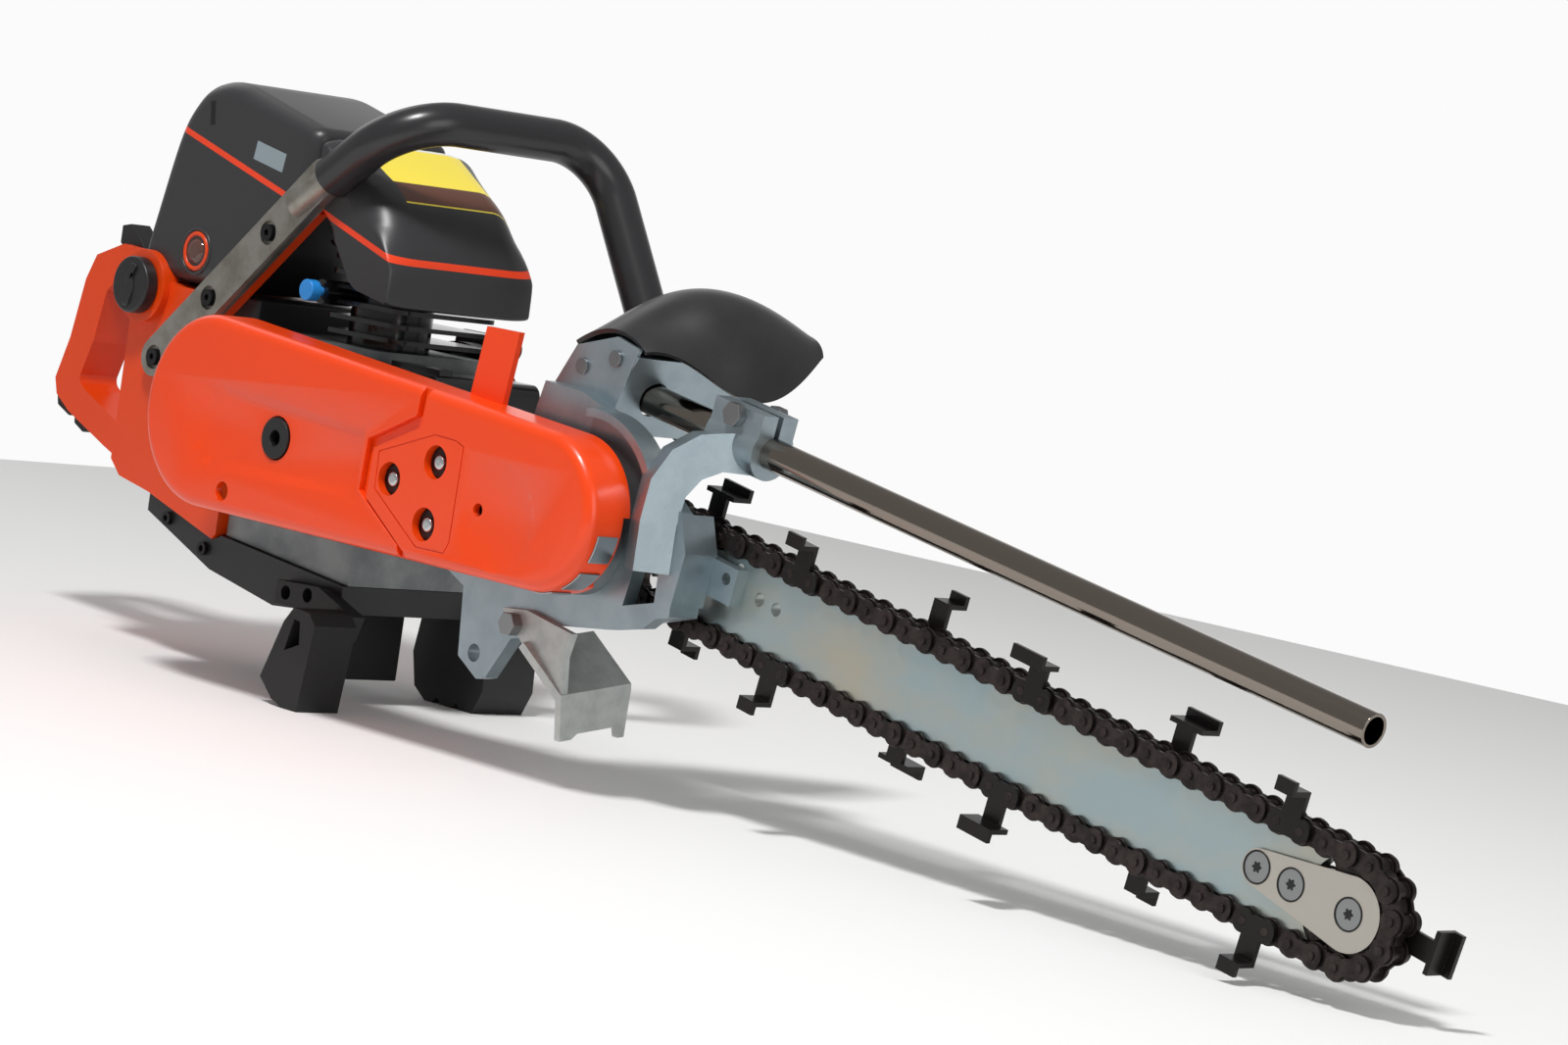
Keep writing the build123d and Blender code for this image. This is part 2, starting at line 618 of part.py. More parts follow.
# ---------------------------------------------------------------- engine
def make_crankcase():
    shape = outline([(-392, -60), (-262, -72), (-262, -20), (-279, 0), (-279, 78), (-392, 78)])
    case = slab(shape, CASE_NEAR_Y, CASE_FAR_Y)
    case += disc(44.0, ARM_FAR_Y, CASE_NEAR_Y, CRANK)
    case -= disc(38.0, MID_Y - 24, MID_Y + 24, CRANK)
    case -= disc(CASE_BORE_R, ARM_FAR_Y - 1, CASE_FAR_Y + 1, CRANK)
    return case - Pos(CYLINDER_X, MID_Y, 70) * Cylinder(21.0, 40)


CYLINDER_X = -322.0
INTAKE_Z = 151.0


def make_crankshaft():
    shaft = disc(CRANK_R, BELT_NEAR_Y, BODY_FAR_Y + 12, CRANK)
    shaft += disc(33.0, MID_Y - 20, MID_Y - 8, CRANK)
    return shaft + disc(33.0, MID_Y + 8, MID_Y + 20, CRANK)


def make_flywheel():
    near, far = BODY_FAR_Y + 2, BODY_FAR_Y + 11
    wheel = tube(FLYWHEEL_R, CRANK_R + 0.02, near, near + 4, CRANK)
    wheel += tube(18, CRANK_R + 0.02, near, far, CRANK)
    for fin in range(16):
        blade = Pos(FLYWHEEL_R - 16, 0) * Rectangle(28, 3)
        wheel += slab(Pos(*CRANK) * Rot(0, 0, 360 / 16 * fin) * blade, near + 4, far)
    return wheel


FIN_X = (-343.0, -264.0)
FIN_Y = (20.0, 104.0)


def make_cylinder():
    low, high = 78.0, 166.0
    cyl = Pos(CYLINDER_X, MID_Y, (low + high) / 2) * Cylinder(27.0, high - low)
    fin = RectangleRounded(FIN_X[1] - FIN_X[0], FIN_Y[1] - FIN_Y[0], 10)
    centre = ((FIN_X[0] + FIN_X[1]) / 2, (FIN_Y[0] + FIN_Y[1]) / 2)
    for number in range(9):
        z = low + 6 + 9.6 * number
        cyl += Pos(centre[0], centre[1], z) * extrude(fin, 3)
    cyl -= block(-289, -200, 0, 122, 139, 200)
    cyl -= Pos(CYLINDER_X, MID_Y, low + 40) * Cylinder(20.0, 86)
    cyl += disc(8.0, FIN_Y[0] - 9, FIN_Y[0] + 15, DECOMP_AT)
    return cyl - disc(3.0 + RUN, FIN_Y[0] - 10, FIN_Y[0] + 4, DECOMP_AT)


DECOMP_AT = (-336.0, 109.0)


def make_decompression_button():
    near = FIN_Y[0] - 9
    head = disc(7.0, near - 13, near - 5, DECOMP_AT)
    return head + disc(3.0, near - 5, near + 8, DECOMP_AT)


def make_spark_plug():
    at = (CYLINDER_X, MID_Y)
    body = Pos(*at, 176) * Cylinder(5.0, 20)
    return body + Pos(*at, 170) * extrude(RegularPolygon(9.5, 6, major_radius=False), 8)


def make_muffler():
    box = block(-278.5, -216, 18, 104, 2, 70)
    box = fillet(box.edges().filter_by(Axis.Y), 8)
    inside = block(-276, -218.5, 20.5, 101.5, 4.5, 67.5)
    strap = block(-270, -222, 22, 34, 70, 74)
    return box + strap - inside - disc(7.0, 100, 108, (-240, 22))


def make_bellows():
    """Ribbed rubber duct from the carburettor to the cylinder."""
    end_x = CYLINDER_X - 27.4
    duct = round_bar((-396, MID_Y, INTAKE_Z), (end_x, MID_Y, INTAKE_Z), 12.0)
    for number in range(5):
        x = -392.0 + 8 * number
        duct += round_bar((x, MID_Y, INTAKE_Z), (x + 3, MID_Y, INTAKE_Z), 15.0)
    return duct - round_bar((-400, MID_Y, INTAKE_Z), (end_x + 9, MID_Y, INTAKE_Z), 9.0)


def make_carburettor():
    body = block(-434, -396.4, MID_Y - 20, MID_Y + 20, 136, 170)
    return body - round_bar((-440, MID_Y, INTAKE_Z), (-390, MID_Y, INTAKE_Z), 9.0)


def make_air_filter():
    body = block(-488, -434, 16, 104, 132, 196)
    return fillet(body.edges().filter_by(Axis.Z), 8)


# ---------------------------------------------------------------- top covers
FUEL_CAP_AT = (-504.0, 91.0)
PRIMER_AT = (-458.0, 120.0)
AFC_OUTLINE = [(-519, 98), (-519, 112), (-497, 198), (-470, 228), (-446, 236), (-347.5, 211),
               (-347.5, 172), (-428, 98)]
CYLINDER_COVER_OUTLINE = [(-346.5, 171), (-346.5, 210.5), (-286, 178), (-266, 152), (-256, 134),
                          (-256, 106), (-292, 112), (-330, 144)]


def make_air_filter_cover():
    shape = outline(AFC_OUTLINE)
    body = slab(shape, BODY_NEAR_Y, BODY_FAR_Y - 6)
    side_edges = body.faces().sort_by(Axis.Y)
    body = fillet(side_edges[0].edges().sort_by(Axis.Z)[-4:], 8.0)
    inner = offset(outline(AFC_OUTLINE), -COVER_WALL)
    hollow = slab(inner, BODY_NEAR_Y + COVER_WALL, BODY_FAR_Y - 6 - COVER_WALL)
    below = block(-512, -436, BODY_NEAR_Y + 4, BODY_FAR_Y - 10, 90, 104)
    side = block(-410, -340, MID_Y - 17, MID_Y + 17, 110, 198)
    body -= hollow + below + side
    body -= disc(25.5, BODY_NEAR_Y - 1, BODY_NEAR_Y + 30, FUEL_CAP_AT)
    body += disc(14.0, BODY_NEAR_Y, BODY_NEAR_Y + 14, PRIMER_AT)
    body -= disc(13.0, BODY_NEAR_Y - 1, BODY_NEAR_Y + 1.5, PRIMER_AT)
    return body - disc(9.0 + RUN, BODY_NEAR_Y - 1, BODY_NEAR_Y + 12, PRIMER_AT)


def make_cylinder_cover():
    shape = outline(CYLINDER_COVER_OUTLINE)
    body = slab(shape, BODY_NEAR_Y, BODY_FAR_Y)
    inner = outline([(-344, 160), (-344, 206.5), (-287.5, 176), (-268.5, 151), (-258.5, 133.5),
                     (-258.5, 100), (-290, 100), (-335, 130)])
    body -= slab(inner, BODY_NEAR_Y + COVER_WALL, BODY_FAR_Y - COVER_WALL)
    body -= block(-349, -300, BODY_NEAR_Y + COVER_WALL, BODY_FAR_Y - COVER_WALL, 90, 168)
    return body - swept(grip_path(), GRIP_R + 0.6) - swept(tube_path(), HANDLE_TUBE_R + 0.6)


# ---------------------------------------------------------------- tank, rear handle, controls
HANDLE_Y = (45.0, 77.0)
TANK_OUTLINE = [(-519.5, -28), (-508, -38), (-474, -43.8), (-400, -63.8), (-396, -60), (-396, 50),
                (-432, 64), (-432, 94), (-470, 95), (-478, 96.5), (-519.5, 96.5)]


def make_tank():
    body = slab(outline(TANK_OUTLINE), BODY_NEAR_Y, BODY_FAR_Y - 6)
    body -= slab(offset(outline(TANK_OUTLINE), -6), BODY_NEAR_Y + 6, BODY_FAR_Y - 12)
    body += disc(24.5, BODY_NEAR_Y - 6, BODY_NEAR_Y + 6, FUEL_CAP_AT)
    flange = pill(11.0, (-440, 80.7), 11.0, (-345, 167.3))
    for taken in (AFC_OUTLINE, CYLINDER_COVER_OUTLINE):
        flange -= outline(taken)
    body += slab(flange, BODY_NEAR_Y, BODY_NEAR_Y + 10)
    body -= disc(15.0 + RUN, BODY_NEAR_Y - 7, BODY_NEAR_Y + 7, FUEL_CAP_AT)
    body -= round_bar((-530, CHOKE_Y, CHOKE_Z), (-490, CHOKE_Y, CHOKE_Z), 3.0 + RUN)
    for at in STRIP_SCREWS:
        body -= disc(3.0 + RUN, BODY_NEAR_Y - 1, BODY_NEAR_Y + 11, at)
    return body


def make_heat_wall():
    """Moulded wall between the tank's stepped corner and the hot side of the engine."""
    shape = outline([(-432, 64), (-396, 50), (-396, 96), (-432, 96)])
    return slab(shape, BODY_NEAR_Y + 10, BODY_FAR_Y - 12)


HANDLE_OUTER = [(-519.5, 60), (-519.5, 108), (-598, 113), (-627, 102), (-636, 84), (-645, 42),
                (-656, 12), (-652, 1), (-636, -9), (-590, -27), (-519.5, -52), (-519.5, -10)]
HANDLE_INNER = [(-541, 86), (-600, 88), (-610, 79), (-618, 42), (-629, 14), (-620, 8), (-580, -8),
                (-541, -20)]
CHOKE_Y = 98.0
CHOKE_Z = 70.0
TRIGGER_PIN = (-588.0, 95.0)
LOCKOUT_PIN = (-592.0, 104.0)
PIN_R = 2.5


def make_rear_handle():
    """Loop handle with a slot for the trigger below the top bar and one for the lever above."""
    shape = outline(HANDLE_OUTER) - rounded(HANDLE_INNER, 6)
    body = slab(shape, *HANDLE_Y)
    mid = (HANDLE_Y[0] + HANDLE_Y[1]) / 2
    body -= block(-606, -566, mid - 7, mid + 7, 80, 99)
    body -= block(-616, -570, mid - 9, mid + 9, 99, 120)
    body -= block(-562, -546, mid - 6, mid + 6, 100, 118)
    for at in (TRIGGER_PIN, LOCKOUT_PIN):
        body += disc(PIN_R, HANDLE_Y[0] + 3, HANDLE_Y[1] - 3, at)
    return body


def make_trigger():
    mid = (HANDLE_Y[0] + HANDLE_Y[1]) / 2
    shape = outline([(-594, 98), (-582, 98), (-578, 84), (-572, 70), (-578, 50), (-586, 46),
                     (-584, 64), (-594, 80)])
    blade = slab(shape, mid - 6, mid + 6)
    return blade - disc(PIN_R + RUN, mid - 7, mid + 7, TRIGGER_PIN)


def make_lockout():
    mid = (HANDLE_Y[0] + HANDLE_Y[1]) / 2
    shape = outline([(-613, 113), (-613, 125), (-603, 127), (-590, 117), (-584, 111), (-586, 100),
                     (-597, 100), (-606, 108)])
    lever = slab(shape, mid - 8, mid + 8)
    return lever - disc(PIN_R + RUN, mid - 9, mid + 9, LOCKOUT_PIN)


def make_stop_switch():
    mid = (HANDLE_Y[0] + HANDLE_Y[1]) / 2
    stem = block(-557, -551, mid - 5.7, mid + 5.7, 100.2, 112)
    return stem + block(-558.5, -549.5, mid - 5.7, mid + 5.7, 112, 116)


def make_choke():
    """Pull knob on the far side of the tank housing."""
    y, z = CHOKE_Y, CHOKE_Z
    stem = round_bar((-522, y, z), (-500, y, z), 3.0)
    return stem + round_bar((-532, y, z), (-520, y, z), 8.0)


def make_fuel_cap():
    cap = disc(19.0, BODY_NEAR_Y - 16, BODY_NEAR_Y - 6.3, FUEL_CAP_AT)
    cap = fillet(cap.faces().sort_by(Axis.Y)[0].edges(), 2)
    return cap + disc(15.0, BODY_NEAR_Y - 7, BODY_NEAR_Y + 4, FUEL_CAP_AT)


def make_primer_bulb():
    bulb = disc(9.0, BODY_NEAR_Y - 2, BODY_NEAR_Y + 7, PRIMER_AT)
    return fillet(bulb.faces().sort_by(Axis.Y)[0].edges(), 4.5)


def make_handle_pads():
    mid = (HANDLE_Y[0] + HANDLE_Y[1]) / 2
    pad_a = outline([(-658, 4), (-655, -7), (-640, -13), (-638, -7.8), (-652, 1)])
    pad_b = outline([(-634, -9.8), (-633, -17), (-622, -22), (-616, -20), (-614, -17.6)])
    return group([slab(pad_a, mid - 12, mid + 12), slab(pad_b, mid - 12, mid + 12)])


# ---------------------------------------------------------------- front handle
STRIP_LOW = (-478.0, 46.0)
STRIP_HIGH = (-330.0, 181.0)
STRIP_SCREWS = ((-478.0, 46.0), (-428.0, 92.0), (-375.0, 141.0))
HANDLE_CORNERS = ((-258.0, -4.0, 228.0), (-250.0, 156.0, 227.0), (-184.0, 164.0, 112.0),
                  (-262.0, 150.0, -84.0))


def along(start, end, share):
    """Point part of the way from start to end."""
    return tuple(a + (b - a) * share for a, b in zip(start, end))


HANDLE_START = (-352.0, -4.0, 161.0)
HANDLE_RADII = (44.0, 44.0, 60.0)


def tube_path():
    a, b, c, d = HANDLE_CORNERS
    return FilletPolyline(HANDLE_START, a, b, c, d, radius=HANDLE_RADII)


def grip_path():
    a, b, c, _ = HANDLE_CORNERS
    start = along(HANDLE_START, a, 0.32)
    return FilletPolyline(start, a, b, along(b, c, 0.86), radius=HANDLE_RADII[0])


def swept(path, radius):
    """Round bar that follows a path."""
    return sweep(Plane(origin=path @ 0, z_dir=path % 0) * Circle(radius), path)


def make_front_handle():
    """Flat cast strip along the machine's near side that turns into a tube."""
    strip = pill(STRIP_W / 2, STRIP_LOW, STRIP_W / 2, STRIP_HIGH)
    body = slab(strip, BODY_NEAR_Y - STRIP_T, BODY_NEAR_Y)
    for at in STRIP_SCREWS:
        body -= disc(8.0, BODY_NEAR_Y - STRIP_T - 1, BODY_NEAR_Y - STRIP_T + 3, at)
        body -= disc(3.0 + RUN, BODY_NEAR_Y - STRIP_T - 1, BODY_NEAR_Y + 1, at)
    core = swept(tube_path(), HANDLE_TUBE_R)
    core -= block(-380, -322, BODY_NEAR_Y, BODY_NEAR_Y + 20, 130, 212)
    sleeve = swept(grip_path(), GRIP_R) - swept(tube_path(), HANDLE_TUBE_R)
    return body + core - sleeve


def make_grip():
    return swept(grip_path(), GRIP_R) - swept(tube_path(), HANDLE_TUBE_R + 0.02)


# ---------------------------------------------------------------- starter side
def make_starter_housing():
    """Two-step dome with cooling slots and a mouth for the pull handle on top."""
    step_y = BODY_FAR_Y + 14
    body = disc(60.0, BODY_FAR_Y + 0.5, step_y, CRANK)
    body += disc(STARTER_R, step_y, STARTER_FAR_Y, CRANK)
    body = fillet(body.faces().sort_by(Axis.Y)[-1].edges(), 8)
    body += block(-338, -306, BODY_FAR_Y + 17, STARTER_FAR_Y - 4, 60, 78)
    body -= disc(57.0, BODY_FAR_Y - 1, step_y - 2.5, CRANK)
    body -= disc(STARTER_R - 3, step_y - 3, STARTER_FAR_Y - 3, CRANK)
    for slot in range(12):
        cut = Pos(31, 0) * SlotOverall(18, 4)
        place = Pos(*CRANK) * Rot(0, 0, 360 / 12 * slot)
        body -= slab(place * cut, STARTER_FAR_Y - 5, STARTER_FAR_Y + 1)
    y = BODY_FAR_Y + 25
    return body - round_bar((CRANK_X, y, 60), (CRANK_X, y, 90), 3.2)


def make_starter_reel():
    near = BODY_FAR_Y + 16
    reel = disc(28.0, near, near + 2, CRANK) + disc(20.0, near + 2, near + 10, CRANK)
    reel += disc(28.0, near + 10, near + 12, CRANK)
    return reel + disc(5.0, near + 12, STARTER_FAR_Y - 3, CRANK)


def make_starter_handle():
    y = BODY_FAR_Y + 25
    bar = round_bar((CRANK_X - 25, y, 86.3), (CRANK_X + 25, y, 86.3), 8.0)
    return bar + round_bar((CRANK_X, y, 66), (CRANK_X, y, 84), 3.14)


# ---------------------------------------------------------------- underside and feet
def make_bottom_shell():
    shape = outline([(-474, -44), (-400, -64), (-392.3, -60.5), (-262, -72.3), (-262, -90),
                     (-330, -96), (-400, -84), (-474, -56)])
    shell = slab(shape, SHELL_NEAR_Y, CASE_FAR_Y)
    for at in SHELL_SCREWS:
        shell -= disc(2.0 + RUN, SHELL_NEAR_Y - 1, SHELL_NEAR_Y + 9, at)
    return shell


def make_near_foot():
    shape = outline([(-278, -134), (-264, -146), (-252, FLOOR_Z), (-238, FLOOR_Z), (-231, -94),
                     (-238, -87), (-254, -86), (-262, -96)])
    foot = slab(shape, BODY_NEAR_Y - 42, BODY_NEAR_Y - 8)
    hole = outline([(-258, -114), (-244, -108), (-246, -94), (-252, -93)])
    foot -= slab(hole, BODY_NEAR_Y - 43, BODY_NEAR_Y - 7)
    lug = outline([(-316, -92), (-316, -77), (-274, -75), (-236, -88), (-242, -104), (-264, -92)])
    foot += slab(lug, BODY_NEAR_Y - 8, SHELL_NEAR_Y)
    for at in SHELL_SCREWS[2:]:
        foot -= disc(4.6, BODY_NEAR_Y - 9, SHELL_NEAR_Y + 1, at)
    return foot


def make_far_foot():
    """Rubber foot on the far side, with a grooved sole and a socket for the handle's end."""
    shape = outline([(-318, -120), (-312, -142), (-300, FLOOR_Z), (-292, FLOOR_Z), (-288, -146),
                     (-284, FLOOR_Z), (-272, FLOOR_Z), (-268, -146), (-264, FLOOR_Z),
                     (-252, FLOOR_Z), (-244, -134), (-246, -100), (-262, -60), (-308, -60)])
    foot = slab(shape, CASE_FAR_Y, CASE_FAR_Y + 44)
    return foot - swept(tube_path(), HANDLE_TUBE_R + 0.02)


def make_mud_flap():
    return block(-318, -312, 46, 100, -140, -94.9)


# ---------------------------------------------------------------- fasteners and bearings
def make_bearings():
    """Crankshaft bearings and drive shaft bearings, drawn as solid rings."""
    rings = []
    for y in (CASE_NEAR_Y + 2, CASE_FAR_Y - 14):
        rings.append(tube(CASE_BORE_R - 0.02, CRANK_R + RUN, y, y + 12, CRANK))
    for y in (ARM_NEAR_Y + 1, HOUSING_FAR_Y - 12):
        rings.append(tube(HOUSING_BORE - 0.02, SHAFT_R + 0.02, y, y + 11))
    return group(rings)


def make_body_screws():
    pieces = []
    near = BODY_NEAR_Y - STRIP_T
    for at in STRIP_SCREWS:
        screw = disc(5.5, near - 1.5, near + 3, at) + disc(3.0, near + 3, BODY_NEAR_Y + 8, at)
        pieces.append(screw - hexagon(4.0, near - 2, near + 1, at))
    for at in SHELL_SCREWS:
        screw = disc(4.5, SHELL_NEAR_Y - 3, SHELL_NEAR_Y, at)
        screw += disc(2.0, SHELL_NEAR_Y, SHELL_NEAR_Y + 8, at)
        pieces.append(screw - hexagon(4.0, SHELL_NEAR_Y - 4, SHELL_NEAR_Y - 1, at))
    return group(pieces)


def make_adapter_fasteners():
    """Clamp bolt, stand bolt and the guard's rivets."""
    at = CLAMP_BOLT_AT
    clamp = disc(4.0, -20, 19, at) + hexagon(13.0, -20, -14.05, at)
    clamp += hexagon(13.0, 14.05, 21, at)
    near = ARM_FAR_Y - STAND_T
    bolt = disc(4.0, near - 3, ADAPTER_FAR_Y + 4, STAND_BOLT_AT)
    bolt += hexagon(13.0, near - 7, near, STAND_BOLT_AT)
    bolt += hexagon(13.0, ADAPTER_FAR_Y, ADAPTER_FAR_Y + 6, STAND_BOLT_AT)
    pieces = [TUBE_FRAME * clamp, bolt]
    for spot in RIVETS:
        rivet = disc(2.45, ADAPTER_FAR_Y - 1, ADAPTER_FAR_Y + 7, spot)
        rivet += disc(5.0, ADAPTER_FAR_Y - 2, ADAPTER_FAR_Y, spot)
        rivet += disc(4.0, ADAPTER_FAR_Y + 6, ADAPTER_FAR_Y + 7.5, spot)
        pieces.append(rivet)
    return group(pieces)


# ---------------------------------------------------------------- files
INNER_LINKS, OUTER_LINKS, CUTTERS = make_chain()
DRIVE_SPROCKET, NOSE_SPROCKET = make_sprockets()

PARTS = {
    "crankcase": make_crankcase(),
    "bearings": make_bearings(),
    "crankshaft": make_crankshaft(),
    "flywheel": make_flywheel(),
    "cylinder": make_cylinder(),
    "decompression_button": make_decompression_button(),
    "spark_plug": make_spark_plug(),
    "muffler": make_muffler(),
    "intake_bellows": make_bellows(),
    "carburettor": make_carburettor(),
    "air_filter": make_air_filter(),
    "air_filter_cover": make_air_filter_cover(),
    "cylinder_cover": make_cylinder_cover(),
    "tank_housing": make_tank(),
    "heat_wall": make_heat_wall(),
    "rear_handle": make_rear_handle(),
    "rear_handle_pads": make_handle_pads(),
    "throttle_trigger": make_trigger(),
    "throttle_lockout": make_lockout(),
    "stop_switch": make_stop_switch(),
    "choke_knob": make_choke(),
    "fuel_cap": make_fuel_cap(),
    "primer_bulb": make_primer_bulb(),
    "front_handle": make_front_handle(),
    "front_handle_grip": make_grip(),
    "body_screws": make_body_screws(),
    "starter_housing": make_starter_housing(),
    "starter_reel": make_starter_reel(),
    "starter_handle": make_starter_handle(),
    "clutch_drum": make_clutch_drum(),
    "clutch_hub": make_clutch_hub(),
    "drive_belt": make_belt(),
    "driven_pulley": make_driven_pulley(),
    "drive_shaft": make_shaft(),
    "cutting_arm": make_arm(),
    "arm_studs": make_arm_studs(),
    "belt_cover_rear": make_cover_rear(),
    "belt_cover_front": make_cover_front(),
    "belt_cover_bush": make_cover_bush(),
    "cover_wear_pads": make_wear_pads(),
    "adapter_casting": make_adapter(),
    "adapter_fasteners": make_adapter_fasteners(),
    "tension_bolt": make_tension_bolt(),
    "depth_tube": make_depth_tube(),
    "guard_bracket": make_guard_bracket(),
    "guard": make_guard(),
    "stand": make_stand(),
    "bar": make_bar(),
    "nose_plates": make_nose_plates(),
    "nose_screws": make_nose_screws(),
    "drive_sprocket": DRIVE_SPROCKET,
    "nose_sprocket": NOSE_SPROCKET,
    "chain_inner_links": INNER_LINKS,
    "chain_outer_links": OUTER_LINKS,
    "chain_cutters": CUTTERS,
    "bottom_shell": make_bottom_shell(),
    "near_foot": make_near_foot(),
    "far_foot": make_far_foot(),
    "mud_flap": make_mud_flap(),
}

boxes = [shape.bounding_box() for shape in PARTS.values()]
low = [min(tuple(box.min)[axis] for box in boxes) for axis in range(3)]
high = [max(tuple(box.max)[axis] for box in boxes) for axis in range(3)]
TO_FRAME = Pos(-(low[0] + high[0]) / 2, -(low[1] + high[1]) / 2, -low[2])
print("moved by", [round(v, 4) for v in tuple(TO_FRAME.position)])
for node, shape in PARTS.items():
    export_step(TO_FRAME * shape, f"parts/{node}.step")
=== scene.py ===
import json
import bmesh
import bpy
import numpy as np
from mathutils import Matrix, Vector


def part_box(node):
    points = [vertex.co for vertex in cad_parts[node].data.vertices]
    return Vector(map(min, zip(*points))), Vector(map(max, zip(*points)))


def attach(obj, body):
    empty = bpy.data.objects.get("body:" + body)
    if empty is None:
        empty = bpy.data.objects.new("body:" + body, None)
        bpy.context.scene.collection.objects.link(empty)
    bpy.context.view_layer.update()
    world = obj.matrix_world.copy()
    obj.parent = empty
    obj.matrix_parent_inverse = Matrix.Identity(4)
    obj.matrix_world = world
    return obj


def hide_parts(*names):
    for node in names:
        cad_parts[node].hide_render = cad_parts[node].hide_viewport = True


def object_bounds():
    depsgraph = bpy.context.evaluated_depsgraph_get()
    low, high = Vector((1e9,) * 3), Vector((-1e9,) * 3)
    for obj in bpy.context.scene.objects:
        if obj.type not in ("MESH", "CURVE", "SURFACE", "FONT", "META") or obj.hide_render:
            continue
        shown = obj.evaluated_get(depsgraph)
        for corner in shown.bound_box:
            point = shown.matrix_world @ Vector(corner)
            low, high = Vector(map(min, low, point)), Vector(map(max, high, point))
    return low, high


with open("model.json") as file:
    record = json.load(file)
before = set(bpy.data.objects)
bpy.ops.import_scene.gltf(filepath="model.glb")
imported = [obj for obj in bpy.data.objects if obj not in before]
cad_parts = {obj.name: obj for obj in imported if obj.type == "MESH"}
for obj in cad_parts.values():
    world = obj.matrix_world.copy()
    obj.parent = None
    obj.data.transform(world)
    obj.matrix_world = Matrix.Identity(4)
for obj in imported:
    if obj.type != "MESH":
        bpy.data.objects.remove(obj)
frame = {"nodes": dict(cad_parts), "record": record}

cad_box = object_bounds()

# ------------------------------------------------------------------ air filter cover
# A deep hood moulded in dark grey nylon with broad rounded shoulders, clamped over the filter
# behind the engine. An orange line runs down its side, with a finger slot painted near-black as
# painted shade in its recess, and a plain grey label plate above it.
MM = 0.001
GRAIN_DEPTH = 0.3
FACE_INSET = 1.5
AXLE = sum(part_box("drive_shaft"), Vector()) / 2
NEAR_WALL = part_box("cylinder_cover")[0].y
BODY_OF = {name: body for body, names in frame["record"]["behaviour"]["bodies"].items()
           for name in names}


def spot(points):
    """Millimetres from the drive shaft's axis and the engine's near wall, to frame metres."""
    return np.asarray(points, float) * MM + np.array([AXLE.x, NEAR_WALL, AXLE.z])


def linear(hex_colour):
    """Turns an sRGB hex value into the linear colour a shader takes."""
    rgb = np.array([int(hex_colour[i:i + 2], 16) / 255 for i in (1, 3, 5)])
    rgb = np.where(rgb > 0.04045, ((rgb + 0.055) / 1.055) ** 2.4, rgb / 12.92)
    return (*rgb.tolist(), 1.0)


def add(tree, kind, settings=None, links=None):
    """Adds a node: settings are its properties or input values, links feed its inputs."""
    made = tree.nodes.new(kind)
    for key, value in (settings or {}).items():
        if isinstance(key, int) or key in made.inputs:
            made.inputs[key].default_value = value
        else:
            setattr(made, key, value)
    for key, socket in (links or {}).items():
        tree.links.new(socket, made.inputs[key])
    return made


def inside_patch(tree, where, centre, turn, halves):
    """1 inside a box of those half sizes about the centre, turned about Y; 0 outside."""
    moved = add(tree, "ShaderNodeVectorMath", {"operation": "SUBTRACT", 1: tuple(centre)},
                {0: where})
    turned = add(tree, "ShaderNodeVectorRotate",
                 {"rotation_type": "Y_AXIS", "Angle": float(np.radians(turn))},
                 {"Vector": moved.outputs[0]})
    parts = add(tree, "ShaderNodeSeparateXYZ", {}, {0: turned.outputs[0]})
    factor = None
    for axis, half in enumerate(halves):
        test = add(tree, "ShaderNodeMath", {"operation": "COMPARE", 1: 0.0, 2: half * MM},
                   {0: parts.outputs[axis]})
        if factor is not None:
            test = add(tree, "ShaderNodeMath", {"operation": "MULTIPLY"},
                       {0: factor, 1: test.outputs[0]})
        factor = test.outputs[0]
    return factor


